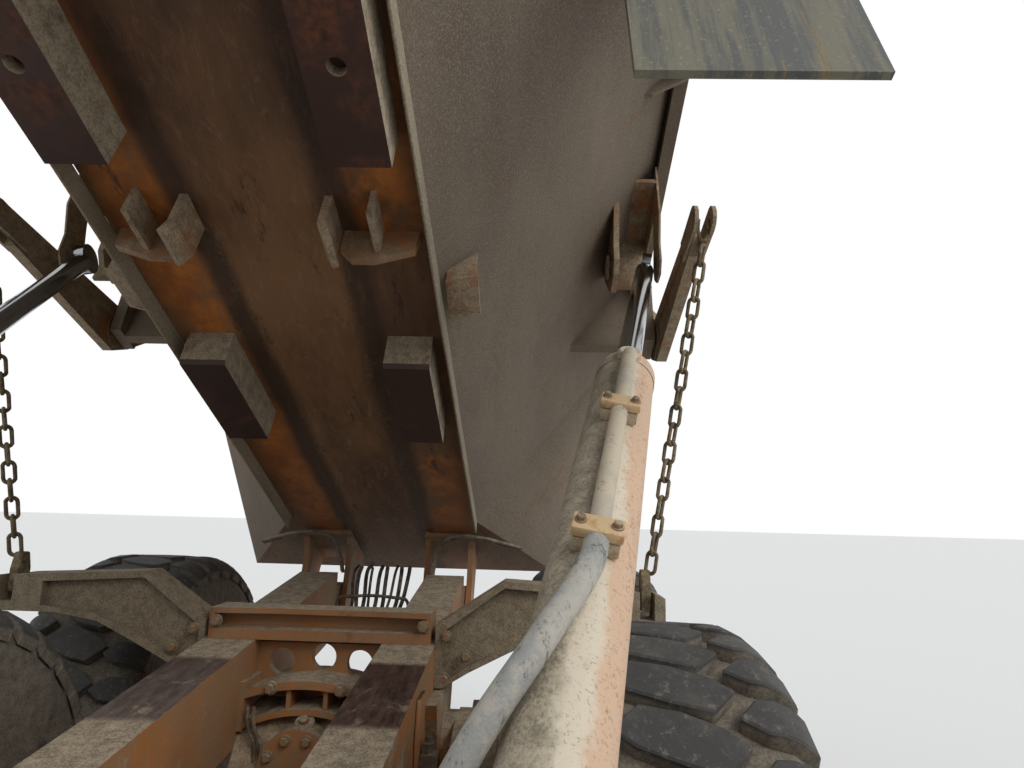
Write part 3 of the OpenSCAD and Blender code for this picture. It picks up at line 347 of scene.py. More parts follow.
def pipe(name, points, radius, around=4, along=8):
    """A bent tube of round section through the points."""
    clear()
    bpy.ops.curve.primitive_bezier_curve_add()
    piece = bpy.context.object
    piece.name = name
    run = piece.data.splines[0]
    run.bezier_points.add(len(points) - 2)
    for stop, point in zip(run.bezier_points, points):
        stop.co = point
        stop.handle_left_type = stop.handle_right_type = "AUTO"
    piece.data.bevel_depth, piece.data.bevel_resolution = radius, around
    piece.data.use_fill_caps, piece.data.resolution_u = True, along
    bpy.ops.object.convert(target="MESH")
    bpy.ops.object.mode_set(mode="EDIT")
    bpy.ops.mesh.select_all(action="SELECT")
    bpy.ops.mesh.remove_doubles(threshold=1e-5)
    bpy.ops.mesh.normals_make_consistent(inside=False)
    bpy.ops.object.mode_set(mode="OBJECT")
    bpy.ops.object.shade_smooth_by_angle(angle=ROUND)
    return piece


def copy_at(piece, place):
    """A copy with its own mesh, set in its place."""
    twin = piece.copy()
    twin.data = piece.data.copy()
    bpy.context.collection.objects.link(twin)
    twin.data.transform(place)
    if place.determinant() < 0:
        twin.data.flip_normals()
    return twin


def joined(name, pieces):
    clear()
    for piece in pieces:
        piece.select_set(True)
    bpy.context.view_layer.objects.active = pieces[0]
    if len(pieces) > 1:
        bpy.ops.object.join()
    pieces[0].name = name
    return pieces[0]


def settle(piece, body, finish):
    piece.data.materials.clear()
    piece.data.materials.append(finish)
    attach(piece, body)
    return piece


def facing(point, way, spin=0.0):
    """The place of something that stands on a face: its Z axis points the way the face looks."""
    aim = Vector(way).to_track_quat("Z", "Y").to_matrix().to_4x4()
    return Matrix.Translation(point) @ aim @ Matrix.Rotation(spin, 4, "Z")


MIRROR = Matrix.Scale(-1.0, 4, (0.0, 1.0, 0.0))


def drop(*pieces):
    for piece in pieces:
        bpy.data.objects.remove(piece)


# One bolt of 24 mm across its flats, scaled for the others
hexagon = [(0.0, 0.004), (0.0125, 0.004), (0.0138, 0.0055),
           (0.0138, 0.0155), (0.0118, 0.0175), (0.0, 0.0175)]
bolt_head = turned("bolt_head", hexagon, 6)
flat_ring = [(0.0, -0.002), (0.0185, -0.002), (0.0185, 0.003), (0.0172, 0.0042), (0.0, 0.0042)]
washer = turned("washer", flat_ring, 20)
bolt = joined("bolt", [bolt_head, washer])
bpy.ops.object.shade_flat()


def bolts(name, body, finish, places):
    """Bolts at (point, way the head looks, size), made into one piece."""
    heads = []
    for k, (point, way, size) in enumerate(places):
        heads.append(copy_at(bolt, facing(point, way, 0.7 * k) @ Matrix.Scale(size, 4)))
    return settle(joined(name, heads), body, finish)


def rear(x, y, z):
    """A place on the chassis, in millimetres from the middle of the bogie."""
    return Vector((REAR_X + x / 1000, y / 1000, z / 1000))


FORE, AFT, LEFT, RIGHT, UP = (1, 0, 0), (-1, 0, 0), (0, 1, 0), (0, -1, 0), (0, 0, 1)
dull_bolt = machine_paint("dirty bolts", colour(150, 104, 60), mud=0.3, rust=0.8, film=0.8).done()
places = [(rear(x, s * 396, 1452), way, 1.25) for s in (1, -1) for x, way in ((75, FORE), (-75, AFT))]
places += [(rear(44, s * y, z), FORE, 1.25) for s in (1, -1) for y, z in ((470, 1452), (478, 1262))]
places += [(rear(66, s * y, z), FORE, 1.2) for s in (1, -1) for y, z in ((486, 1418), (560, 1350))]
places += [(rear(190, s * 126, 1246), FORE, 1.3) for s in (1, -1)]
places += [(rear(262, s * 37, 1094), FORE, 1.1) for s in (1, -1)]
places += [(rear(262, s * 95, 1041), FORE, 1.1) for s in (1, -1)]
bolts("chassis_bolts", "rear_frame", dull_bolt, places)

plug = turned("filler_plug", [(0.0, -0.004), (0.034, -0.004), (0.036, 0.006), (0.03, 0.012), (0.016, 0.012),
                              (0.015, 0.026), (0.0, 0.026)], 24)
plug.data.transform(facing(rear(193, 6, 1132), (0.6, 0.0, 0.8)))
settle(plug, "rear_frame", dull_bolt)

dark_pipe = Finish("dirty pipe", colour(84, 72, 60), 0.6)
pipe_dirt = dark_pipe.noise(22.0, 4.0, 0.7).step(0.4, 0.6) * 0.8
dried_mud(dark_pipe, pipe_dirt, colour(106, 92, 74), colour(150, 134, 110), 0.001)
pipe_finish = dark_pipe.done()
THIN_RUN = ((196, 1190), (188, 1120), (160, 1062), (166, 960), (172, 840))
tubes = []
for k, aside in enumerate((0, 24)):
    tubes.append(pipe("thin_pipe", [rear(215 + 6 * k, aside - y, z) for y, z in THIN_RUN], 0.0075, 3))
settle(joined("bogie_pipes", tubes), "rear_frame", pipe_finish)

# A cranked bracket and a valve body with its union on each rail's flank
crank = [rear(x, -444, z) for x, z in ((360, 1300), (470, 1300), (492, 1180), (470, 980), (380, 980))]
bracket = ease(cut_plate("rail_bracket", crank, (0, -0.012, 0)), 0.003)
valve = ease(block("valve", rear(395, -508, 1010), rear(455, -455, 1130)), 0.008)
nipple = [(0.0, 0.0), (0.02, 0.0), (0.02, 0.03), (0.014, 0.034), (0.014, 0.05), (0.0, 0.05)]
union = turned("union", nipple, 6)
union.data.transform(facing(rear(425, -480, 1128), UP))
fitting = joined("valve_block", [valve, union])
for side, mark in ((1, "left"), (-1, "right")):
    turn_over = Matrix.Identity(4) if side < 0 else MIRROR
    settle(copy_at(bracket, turn_over), "rear_frame", chassis_finish).name = f"rail_bracket_{mark}"
    settle(copy_at(fitting, turn_over), "rear_frame", pipe_finish).name = f"valve_block_{mark}"
drop(bracket, fitting)

# Chain arms
# Two cast brackets on the chassis rails that hold the lower ends of the tailgate's chains,
# caked all over in splashed mud.
arm_coat = Finish("caked arm", colour(190, 118, 52), 0.6)
cake = arm_coat.noise(2.2, 4.0, 0.6).step(0.2, 0.28)
dried_mud(arm_coat, cake, colour(112, 99, 80), colour(158, 143, 118), 0.006)
dress(arm_coat.done(), "chain_arms")

# Bed
# A welded trough of wear plate. Its belly is brown with old rust, the sloping walls are
# dull grey-brown under a skin of spattered mud, and orange paint is left in the sheltered places.
HINGE = Vector((REAR_X - 1.194, 0.0, 1.348))
BED_RISE, HINGE_DROP = math.radians(25.51), 0.1991
bed_frame = Matrix.Translation(HINGE) @ Matrix.Rotation(-BED_RISE, 4, "Y")
bed_frame = bed_frame @ Matrix.Translation((0.0, 0.0, HINGE_DROP))
bed_back = bed_frame.inverted()
ON_BED = {"shift": tuple(bed_back.translation), "turn": (0.0, BED_RISE, 0.0)}

belly = Finish("rusty belly", colour(112, 78, 50), 0.75, **ON_BED)
LENGTHWISE = (0.3, 1.0, 1.0)
old_rust = belly.noise(2.4, 6.0, 0.7, LENGTHWISE).step(0.34, 0.66)
belly.base = belly.shades(colour(84, 58, 40), colour(132, 96, 64), old_rust)
sideways = belly.along("Y").size()
sheltered = (sideways - 0.35).size().step(0.16, 0.03)
orange_zone = sheltered * belly.noise(1.9, 6.0, 0.68, (0.6, 1.0, 1.0)).step(0.47, 0.58)
fade = belly.noise(9.0, 4.0, 0.7).step(0.3, 0.7)
belly.coat(orange_zone, belly.shades(colour(146, 84, 34), colour(190, 116, 46), fade), 0.6)
wander = belly.noise(5.0, 3.0, 0.6, (0.4, 1.0, 1.0)) * 0.07
dark_run = (sideways + wander - 0.25).size().step(0.07, 0.02)
dark_run = dark_run * belly.noise(3.0, 5.0, 0.7, LENGTHWISE).step(0.3, 0.5)
belly.coat(dark_run * 0.85, colour(54, 38, 28), 0.7)
belly.coat(belly.noise(11.0, 6.0, 0.8, LENGTHWISE).step(0.56, 0.68) * 0.8, colour(48, 34, 26), 0.7)
scratches = belly.noise(26.0, 6.0, 0.85, (0.35, 1.0, 1.0), 1.6).step(0.54, 0.6) * sideways.step(0.26, 0.12)
belly.coat(scratches * 0.45, colour(150, 122, 92), 0.85)
hind = belly.along("X").step(1.6, -0.6)
belly.coat(hind * belly.noise(60.0, 4.0, 0.75).step(0.4, 0.6) * 0.55, colour(140, 118, 92), 0.9)
fore = belly.along("X").step(2.2, 3.4)
soot = belly.noise(5.0, 5.0, 0.7).step(0.4, 0.7)
belly.coat(fore * 0.6, belly.shades(colour(34, 24, 20), colour(92, 58, 36), soot), 0.7)
belly.height = belly.noise(120.0, 4.0, 0.75) * 0.0016 + belly.noise(18.0, 4.0, 0.7) * 0.003
dress(belly.done(), "bed_floor")


def bed_mud(name, dark=colour(96, 84, 72), mid=colour(124, 110, 94), pale=colour(150, 137, 118), drip=0.6):
    """Fine splashed mud that has dried on wear plate, coarser towards the rear, with rust in runs."""
    finish = Finish(name, mid, 0.92, **ON_BED)
    finish.base = finish.shades(dark, mid, finish.noise(1.1, 5.0, 0.62, (0.45, 1.0, 1.0)).step(0.3, 0.66))
    finish.coat(finish.noise(5.0, 6.0, 0.8, (0.25, 1.0, 1.0)).step(0.5, 0.72) * 0.6, colour(104, 82, 62))
    runs = finish.noise(2.2, 5.0, 0.7, (1.6, 0.5, 0.5), 0.5).step(0.6, 0.7)
    finish.coat(runs * drip, colour(122, 84, 54))
    speck = finish.noise(170.0, 4.0, 0.75)
    finish.coat(speck.step(0.5, 0.6) * 0.55, pale)
    finish.coat(speck.step(0.44, 0.34) * 0.6, dark)
    coarse = finish.noise(48.0, 3.0, 0.7) * finish.along("X").step(2.4, 0.2)
    finish.height = speck * 0.0034 + coarse * 0.006
    return finish


wall_finish = bed_mud("wall mud").done()
dress(wall_finish, "bed_walls", "bed_rails", "tailgate", "gate_brackets")

casting = machine_paint("casting paint", colour(168, 104, 50), mud=0.9, rust=0.8, film=0.6, **ON_BED)
casting_finish = casting.done()
dress(casting_finish, "hoist_brackets", "guide_brackets", "gate_arms")
hinge_paint = machine_paint("hinge paint", colour(176, 108, 50), 0.5, 0.9, 0.5, 0.5, **ON_BED)
dress(hinge_paint.done(), "hinge_arms")

pads = Finish("rubbed pad", colour(62, 42, 36), 0.55, 0.2, **ON_BED)
rusty(pads, pads.noise(4.0, 5.0, 0.65).step(0.45, 0.7), colour(54, 34, 26), colour(104, 60, 36))
side_on = pads.along("Z", pads.facing).size().step(0.6, 0.3)
side_mud = side_on * pads.noise(6.0, 4.0, 0.7).step(0.25, 0.45)
dried_mud(pads, side_mud, colour(120, 106, 88), colour(168, 154, 130), 0.003)
dress(pads.done(), "bed_runners")


def on_bed(along, side, height):
    """A place on the bed, in millimetres ahead of its hinge, to its left, and above the rails."""
    return bed_frame @ Vector((along / 1000, side / 1000, height / 1000))


bed_up = bed_frame.to_3x3() @ Vector((0, 0, 1))
bed_fore = bed_frame.to_3x3() @ Vector((1, 0, 0))


def both(piece, body, finish):
    """Sets a piece of the left side, and its mirror image on the right."""
    name = piece.name
    twin = copy_at(piece, MIRROR)
    piece.name, twin.name = name + "_left", name + "_right"
    other = body[:-5] + "_right" if body.endswith("_left") else body
    settle(piece, body, finish)
    return settle(twin, other, finish)


# Lips and brackets under the bed
# The wall plates stand a hand's breadth below the belly as lips, their mud painted paler as a highlight.
# A box bracket of three plates is welded to the wall's inner slope.
LIP = [(3950, 461, 470), (2600, 476, 484), (1200, 488, 497), (400, 498, 507), (-400, 935, 946)]
lips = []
for (a0, y0, y1), (a1, y2, y3) in zip(LIP[:3], LIP[1:4]):
    corners = [on_bed(a0, y0, 136), on_bed(a0, y1, 136), on_bed(a1, y3, 136), on_bed(a1, y2, 136)]
    lips.append(cut_plate("lip", corners, bed_up * -0.07))
lip = ease(joined("belly_lip", lips), 0.0025, 1)
# Mud as on the walls, in paler colours: a painted highlight where the sky lights the lips.
lip_mud_and_highlight = bed_mud("lip mud with painted highlight", colour(112, 100, 84), colour(150, 138, 116), colour(186, 174, 150), 0.2).done()
both(lip, "bed", lip_mud_and_highlight)

CHEEK = ((506, 186), (600, 262), (604, 150), (508, 120))
box = []
for along in (2075, 2235):
    cheek = [on_bed(along, side, height) for side, height in CHEEK]
    box.append(ease(cut_plate("cheek", cheek, bed_fore * 0.012), 0.002))
cover = [on_bed(2070, 506, 122), on_bed(2252, 506, 122), on_bed(2252, 608, 152), on_bed(2070, 608, 152)]
box.append(ease(cut_plate("cover", cover, bed_up * 0.01), 0.002))
both(joined("wall_bracket", box), "bed", casting_finish)

# Hydraulic tubes and hoses at the hinge
# Paired steel tubes run along the belly's rear corners and bend down past the hinge arms to a
# bundle of rubber hoses that hangs between them.
tube_paint = Finish("grey tube", colour(92, 86, 78), 0.55, **ON_BED)
tube_dirt = tube_paint.noise(18.0, 5.0, 0.7).step(0.36, 0.56) * 0.9
dried_mud(tube_paint, tube_dirt, colour(110, 98, 80), colour(164, 150, 126), 0.001)
TUBE_RUN = [(95, 745, 114), (170, 630, 112), (235, 510, 112), (250, 380, 108),
            (210, 300, 80), (150, 262, 0), (128, 246, -62)]
runs = []
for behind in (0, 26):
    route = [on_bed(along - behind, side, height) for along, side, height in TUBE_RUN]
    runs.append(pipe("wall_tube", route, 0.0095, 3))
both(joined("hinge_tubes", runs), "bed", tube_paint.done())
hose_rubber = Finish("hose rubber", colour(50, 46, 42), 0.7)
hose_dirt = hose_rubber.noise(14.0, 5.0, 0.7).step(0.4, 0.6) * 0.7
dried_mud(hose_rubber, hose_dirt, colour(92, 82, 70), colour(142, 128, 108), 0.001)
hose_finish = hose_rubber.done()
# Each hose by its distance to the left, how deep it sags and how far it bows forward
HANGS = ((-150, 60, 0), (-118, 96, 30), (-86, 44, -18), (-52, 118, 44), (-14, 70, 10),
         (24, 104, 34), (62, 50, -10), (98, 88, 24), (134, 66, 4))
bundle = []
for k, (y, sag, bow) in enumerate(HANGS):
    route = [rear(-1130 + 2.2 * bow, y, 1560), rear(-1060 + bow, y * 1.05, 1548 - sag * 0.3),
             rear(-960 + bow, y * 0.9, 1440 - sag), rear(-880, y * 0.8, 1372 - sag * 0.3),
             rear(-830, y * 0.7 - 20, 1345)]
    bundle.append(pipe("hose", route, 0.0105 if k % 3 else 0.0075, 3))
settle(joined("hinge_hoses", bundle), "rear_frame", hose_finish)
RAIL_BEND = ((-830, -170, 1330), (-832, -174, 1420), (-835, -120, 1432),
             (-835, 120, 1432), (-832, 174, 1420), (-830, 170, 1330))
clip = pipe("hose_rail", [rear(x, y, z) for x, y, z in RAIL_BEND], 0.008, 3)
settle(clip, "rear_frame", pipe_finish)
manifold = ease(block("hose_manifold", rear(-850, -120, 1296), rear(-770, 120, 1350)), 0.008)
settle(manifold, "rear_frame", pipe_finish)

# Gate levers
# A turned cap with its nut on each lever's pivot, and a bolt's head on the inner side of its fork,
# where the chain's shackle is held.
cap = turned("gate_pivot_cap", [(0.0, -0.004), (0.06, -0.004), (0.06, 0.004), (0.05, 0.008),
                                (0.032, 0.009), (0.03, 0.0135), (0.0, 0.0135)], 28)
cap.data.transform(facing(on_bed(1040, 1481, 880), LEFT))
both(cap, "bed", casting_finish)
TIP = rear(189.8, 1449, 3049.7)
fork_bolts = [(TIP - Vector((0, 0.0265, 0)), (0, -1, 0), 1.1)]
fork_bolts += [(Vector((p.x, -p.y, p.z)), (w[0], -w[1], w[2]), g) for p, w, g in fork_bolts]
bolts("fork_bolts", "tailgate", dull_bolt, fork_bolts)

# Hoist eyes
# Round steel plates that keep the pins of the hoists' eyes in their castings, one on each side.
plate_edge = [(0.0, 0.0), (0.056, 0.0), (0.056, 0.006), (0.05, 0.009), (0.0, 0.009)]
eye_plate = turned("eye_pin_plate", plate_edge, 28)
eye_plate.data.transform(facing(on_bed(1599, 1118, 846), RIGHT))
both(eye_plate, "bed", casting_finish)

# Mud flaps
# Plain rubber sheets hung behind the cab, grey with dried splashes that have run down them.
flap = Finish("flap rubber", colour(80, 82, 80), 0.7, **ON_BED)
flap.coat(flap.noise(3.0, 6.0, 0.75, (1.0, 5.0, 0.35)).step(0.42, 0.58) * 0.8, colour(122, 118, 100), 0.85)
flap.coat(flap.noise(4.0, 5.0, 0.75, (1.0, 4.0, 0.25)).step(0.56, 0.7) * 0.8, colour(146, 122, 78), 0.85)
flap.coat(flap.noise(90.0, 3.0, 0.7).step(0.58, 0.7) * 0.4, colour(168, 158, 132), 0.9)
flap.height = flap.noise(60.0, 3.0, 0.6) * 0.0006
dress(flap.done(), "mud_flaps")
flap_bolts = [(on_bed(3084, s * y, 1200), -bed_fore, 1.0) for s in (1, -1) for y in (1010, 1090, 1170, 1250)]
bolts("flap_bolts", "bed", dull_bolt, flap_bolts)
strip = ease(block("flap_strip", (0, 0, 0), (0.006, 0.28, 0.05)), 0.002)
strip.data.transform(bed_frame @ Matrix.Translation((3.079, 0.99, 1.175)))
both(strip, "bed", casting_finish)

# Hoists
# Two hydraulic cylinders with chalky cream barrels, grainy with mud on the truck's middle side and
# rusting pink on the other, with hard-chromed rods and a collar at each barrel's mouth.
FOOT = rear(2858, 581, 747)
ALONG = Vector((-0.79418, 0.18226, 0.57970))
POLAR, AROUND = math.acos(ALONG.z), math.atan2(ALONG.y, ALONG.x)
barrel_frame = Matrix.Translation(FOOT) @ Matrix.Rotation(AROUND, 4, "Z") @ Matrix.Rotation(POLAR, 4, "Y")

barrel = Finish("barrel paint", colour(206, 194, 172), 0.65)
outward = barrel.along("Y", barrel.facing)
outer_side = outward * barrel.along("Y").step(-0.1, 0.1) - outward * barrel.along("Y").step(0.1, -0.1)
pink = (outer_side + barrel.noise(5.0, 6.0, 0.8)).step(0.86, 1.12)
barrel.coat(pink * 0.8, colour(198, 160, 130), 0.75)
spots = barrel.noise(7.0, 6.0, 0.8).step(0.54, 0.62)
barrel.coat(spots * (pink * 0.6 + 0.2), colour(166, 118, 82), 0.8)
specks = barrel.noise(16.0, 6.0, 0.85, (1.0, 1.0, 2.0)).step(0.58, 0.66)
barrel.coat(specks * (pink * 0.55 + 0.15), colour(126, 88, 62), 0.8)
inner_side = barrel.along("X", barrel.facing) * 0.25 - outer_side
skin = (inner_side + barrel.noise(9.0, 5.0, 0.7) * 0.9).step(0.5, 0.8)
dried_mud(barrel, skin * 0.92, colour(122, 112, 94), colour(178, 166, 144), 0.005)
barrel.coat(barrel.noise(130.0, 4.0, 0.8).step(0.56, 0.64) * 0.5, colour(96, 84, 70), 0.85)
barrel_finish = barrel.done()
dress(barrel_finish, "hoist_barrel_left", "hoist_barrel_right", "steer_barrel_left", "steer_barrel_right")

chrome = Finish("hard chrome", colour(150, 152, 156), 0.14, 1.0)
chrome.coat(chrome.noise(40.0, 3.0, 0.6, (1.0, 1.0, 0.3)).step(0.55, 0.8) * 0.4, colour(70, 68, 66), 0.4)
dress(chrome.done(), "hoist_rod_left", "hoist_rod_right", "steer_rod_left", "steer_rod_right")

collar = turned("hoist_collar", [(0.0405, 2.699), (0.088, 2.640), (0.0885, 2.690), (0.083, 2.706),
                                 (0.070, 2.716), (0.056, 2.719), (0.050, 2.726), (0.0415, 2.728)], 40)
collar.data.transform(barrel_frame)
both(collar, "hoist_barrel_left", barrel_finish)

# Feed pipe and hose of each hoist
# A steel pipe runs down the barrel from its gland, under two bolted clamps. At the lower clamp a
# rubber hose goes on, and sags to a fitting on the chassis rail's outer face.
PIPE_SIDE = Vector((-0.977, -0.214, 0.0))


def by_barrel(off, up):
    return barrel_frame @ (PIPE_SIDE * off + Vector((0, 0, up)))


feed_paint = Finish("grey feed pipe", colour(166, 158, 144), 0.6, 0.1)
feed_paint.coat(feed_paint.noise(7.0, 5.0, 0.7).step(0.4, 0.62) * 0.8, colour(194, 180, 156), 0.85)
feed_paint.coat(feed_paint.noise(22.0, 5.0, 0.8).step(0.57, 0.66) * 0.7, colour(120, 106, 90), 0.85)
feed_paint.height = feed_paint.noise(80.0, 3.0, 0.7) * 0.0012
feed_finish = feed_paint.done()
PIPE_RUN = ((0.072, 2.655), (0.100, 2.640), (0.112, 2.600), (0.112, 2.30),
            (0.112, 2.0), (0.112, 1.88), (0.112, 1.80))
feed = pipe("feed_pipe", [by_barrel(off, up) for off, up in PIPE_RUN], 0.021, 6)
both(feed, "hoist_barrel_left", feed_finish)
boss = [(0.0, 0.0), (0.036, 0.0), (0.036, 0.028), (0.030, 0.034), (0.0, 0.034)]
gland = turned("gland_boss", boss, 24)
side_way = barrel_frame.to_3x3() @ PIPE_SIDE
gland.data.transform(facing(by_barrel(0.070, 2.665), side_way))
both(gland, "hoist_barrel_left", barrel_finish)

across_way = side_way.cross(ALONG).normalized()
clamp_frame = Matrix((across_way, ALONG, side_way)).transposed().to_4x4()
seat_paint = Finish("clamp seat", colour(178, 162, 136), 0.7)
seat_paint.coat(seat_paint.noise(30.0, 5.0, 0.75).step(0.5, 0.62) * 0.8, colour(140, 122, 98), 0.85)
top_paint = Finish("clamp top", colour(196, 168, 128), 0.65)
top_paint.coat(top_paint.noise(26.0, 5.0, 0.75).step(0.54, 0.64) * 0.7, colour(172, 122, 74), 0.8)
CLAMP_HEIGHTS = (2.285, 1.785)
for name, low, thick, reach, finish in (("clamp_seats", 0.082, 0.032, 0.045, seat_paint.done()),
                                        ("clamp_tops", 0.116, 0.022, 0.049, top_paint.done())):
    plates = []
    for height in CLAMP_HEIGHTS:
        plate = ease(block("clamp", (-reach, -0.024, 0.0), (reach, 0.024, thick)), 0.004)
        plate.data.transform(Matrix.Translation(by_barrel(low, height)) @ clamp_frame)
        plates.append(plate)
    both(joined(name, plates), "hoist_barrel_left", finish)
clamp_bolts = [(by_barrel(0.138, height) + across_way * aside, side_way, 0.65)
               for height in CLAMP_HEIGHTS for aside in (-0.034, 0.034)]
for mark, flip in (("left", 1), ("right", -1)):
    places = [(Vector((p.x, flip * p.y, p.z)), (w.x, flip * w.y, w.z), g) for p, w, g in clamp_bolts]
    bolts(f"clamp_bolts_{mark}", f"hoist_barrel_{mark}", dull_bolt, places)
hose_cover = Finish("grey hose cover", colour(146, 146, 142), 0.75)
hose_cover.coat(hose_cover.noise(12.0, 6.0, 0.8).step(0.42, 0.6) * 0.8, colour(178, 172, 160), 0.9)
scuffs = hose_cover.noise(36.0, 5.0, 0.8, (1.0, 1.0, 0.4)).step(0.55, 0.65)
hose_cover.coat(scuffs * 0.8, colour(92, 92, 90), 0.85)
hose_cover.height = hose_cover.noise(90.0, 4.0, 0.8) * 0.0022
hose_cover_finish = hose_cover.done()
SAG = [(-0.601, 0.873, 1.792), (-0.557, 0.842, 1.756), (-0.516, 0.811, 1.718), (-0.489, 0.782, 1.681),
       (-0.470, 0.753, 1.643), (-0.455, 0.724, 1.600), (-0.437, 0.684, 1.530), (-0.415, 0.640, 1.430),
       (-0.390, 0.596, 1.310), (-0.365, 0.550, 1.190), (-0.350, 0.510, 1.120), (-0.348, 0.470, 1.098)]
HOSE = [by_barrel(0.112, 1.79), by_barrel(0.112, 1.73)] + [Vector(point) for point in SAG]
for mark, place in (("left", Matrix.Identity(4)), ("right", MIRROR)):
    hose = pipe(f"feed_hose_{mark}", HOSE, 0.024, 6, 12)
    hose.data.transform(place)
    if mark == "right":
        hose.data.flip_normals()
    hose.data.materials.clear()
    hose.data.materials.append(hose_cover_finish)
    tuple(place @ HOSE[5])
    tuple(place @ HOSE[-2])
    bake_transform(hose)
fitting = [(0.0, 0.0), (0.034, 0.0), (0.034, 0.022), (0.027, 0.026), (0.027, 0.05), (0.0, 0.05)]
elbow = turned("rail_elbow", fitting, 6)
elbow.data.transform(facing(Vector((-0.348, 0.4425, 1.098)), LEFT))
both(elbow, "rear_frame", pipe_finish)

# Chains
# Forged oval links of 15 mm bar, every other one turned, hung between a plate on the arm's pin
# and a shackle at the lever's fork. Pale dust cakes them.
link_steel = Finish("chain steel", colour(98, 84, 64), 0.75, 0.25)
link_steel.coat(link_steel.noise(16.0, 5.0, 0.7).step(0.5, 0.64) * 0.7, colour(70, 52, 38), 0.8)
link_dust = link_steel.noise(26.0, 4.0, 0.7).step(0.4, 0.58) * 0.85
dried_mud(link_steel, link_dust, colour(112, 98, 74), colour(156, 140, 110), 0.001)
link_finish = link_steel.done()
CHAIN_LOW, CHAIN_TOP = rear(0, 1242, 1558), rear(160, 1455, 2950)
clear()
LINK_ROUND, LINK_BAR, LINK_STRAIGHT = 0.0205, 0.0078, 0.022
bpy.ops.mesh.primitive_torus_add(major_radius=LINK_ROUND, minor_radius=LINK_BAR,
                                 major_segments=16, minor_segments=8)
link = bpy.context.object
for vertex in link.data.vertices:
    vertex.co.y += LINK_STRAIGHT if vertex.co.y > 0 else -LINK_STRAIGHT
bpy.ops.object.shade_smooth()
run_up = CHAIN_TOP - CHAIN_LOW
lay = run_up.to_track_quat("Y", "Z").to_matrix().to_4x4()
PLATE_REACH, LINKS = 0.118, 18
PITCH = (run_up.length - PLATE_REACH) / LINKS
chain_links = []
for k in range(LINKS):
    spot = CHAIN_LOW + run_up.normalized() * (PLATE_REACH + 0.035 + k * PITCH)
    quarter = Matrix.Rotation(math.radians(90 if k % 2 == 0 else 0) + 0.12 * math.sin(2.3 * k), 4, "Y")
    chain_links.append(copy_at(link, Matrix.Translation(spot) @ lay @ quarter))
drop(link)
TAG = ((-0.034, -0.03), (0.034, -0.03), (0.036, 0.058), (0.02, 0.122), (-0.02, 0.122), (-0.036, 0.058))
tag = cut_plate("chain_plate", [CHAIN_LOW + Vector((x, -0.019, z)) for x, z in TAG], (0, 0.038, 0))
ease(tag, 0.006)
pin = turned("chain_pin", [(0.0, -0.036), (0.024, -0.036), (0.026, -0.03), (0.026, -0.021), (0.02, -0.021),
                           (0.02, 0.021), (0.026, 0.021), (0.026, 0.03), (0.024, 0.036), (0.0, 0.036)], 20)
pin.data.transform(facing(CHAIN_LOW, LEFT))
chain_piece = joined("chain_run_left", chain_links + [tag, pin])
twin = copy_at(chain_piece, MIRROR)
twin.name = "chain_run_right"
for side, piece in (("left", chain_piece), ("right", twin)):
    settle(piece, f"chain_{side}", link_finish)
    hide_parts(f"chain_{side}")
below = (CHAIN_TOP - TIP).normalized()
shackle = pipe("fork_shackle", [TIP + Vector((0, -0.017, 0)), TIP + Vector((0, -0.018, 0)) + below * 0.05,
                                TIP + below * 0.082, TIP + Vector((0, 0.018, 0)) + below * 0.05,
                                TIP + Vector((0, 0.017, 0))], 0.0075, 4, 12)
both(shackle, "tailgate", link_finish)

# Tyres
# Earthmover tyres with 34 pitches of deep blocks: two hexagon blocks to each pitch in the middle
# and a buttress block on each shoulder. The blocks' tops are scuffed grey, the grooves muddy.
TYRE_R, HALF_TRACK, HALF_TREAD, PITCHES, GROOVE = 0.805, 1.108, 0.2985, 34, 0.034
PITCH_LENGTH = 2 * math.pi * TYRE_R / PITCHES


def crown(y):
    """Radius of the tread at a distance from the middle plane."""
    edge = max(0.0, (abs(y) - 0.205) / (HALF_TREAD - 0.205))
    return TYRE_R - 0.001 - 0.004 * (y / 0.21) ** 2 - 0.058 * edge ** 1.8


MIDDLE = [(-0.28, -0.60), (0.04, -0.47), (0.34, -0.20), (0.52, 0.10),
          (0.30, 0.60), (0.0, 0.44), (-0.34, 0.18), (-0.52, -0.12)]
SHOULDER = [(0.44, 0.68), (0.60, 0.28), (1.0, 0.24), (1.0, 0.98), (0.62, 0.95)]
outlines = [MIDDLE, SHOULDER, [(-u, 0.36 - t) for u, t in SHOULDER]]
lugs = []
for k, outline in enumerate(outlines):
    gap = 0.92 if k == 0 else 1.0
    corners = [(u * HALF_TREAD * gap, t * PITCH_LENGTH * 0.93, 0.0) for u, t in outline]
    lug = cut_plate("lug", corners, (0, 0, GROOVE + 0.012))
    bpy.ops.object.mode_set(mode="EDIT")
    for cut in (-0.93, -0.84, -0.72, 0.72, 0.84, 0.93):
        bpy.ops.mesh.select_all(action="SELECT")
        bpy.ops.mesh.bisect(plane_co=(cut * HALF_TREAD, 0, 0), plane_no=(1, 0, 0))
    bpy.ops.object.mode_set(mode="OBJECT")
    lugs.append(ease(lug, 0.0045, 1))
block_row = joined("tread_blocks", lugs)
for vertex in block_row.data.vertices:
    y, length, height = vertex.co
    radius = crown(y) - GROOVE - 0.012 + height
    draft = 1.0 + 0.05 * (1.0 - height / (GROOVE + 0.012))
    turned_by = length * draft / TYRE_R
    vertex.co = (radius * math.sin(turned_by), y, radius * math.cos(turned_by))
carcass_side = [(0.2185, 0.331), (0.224, 0.338), (0.238, 0.372), (0.262, 0.420),
                (0.284, 0.500), (0.296, 0.590), (0.2970, 0.640), (0.290, 0.690),
                (0.272, 0.722), (0.240, 0.748), (0.190, 0.762), (0.090, 0.765)]
profile = [(r, y) for y, r in carcass_side] + [(r, -y) for y, r in reversed(carcass_side)]
carcass = turned("carcass", profile, 72)
carcass.data.transform(Matrix.Rotation(math.radians(-90), 4, "X"))
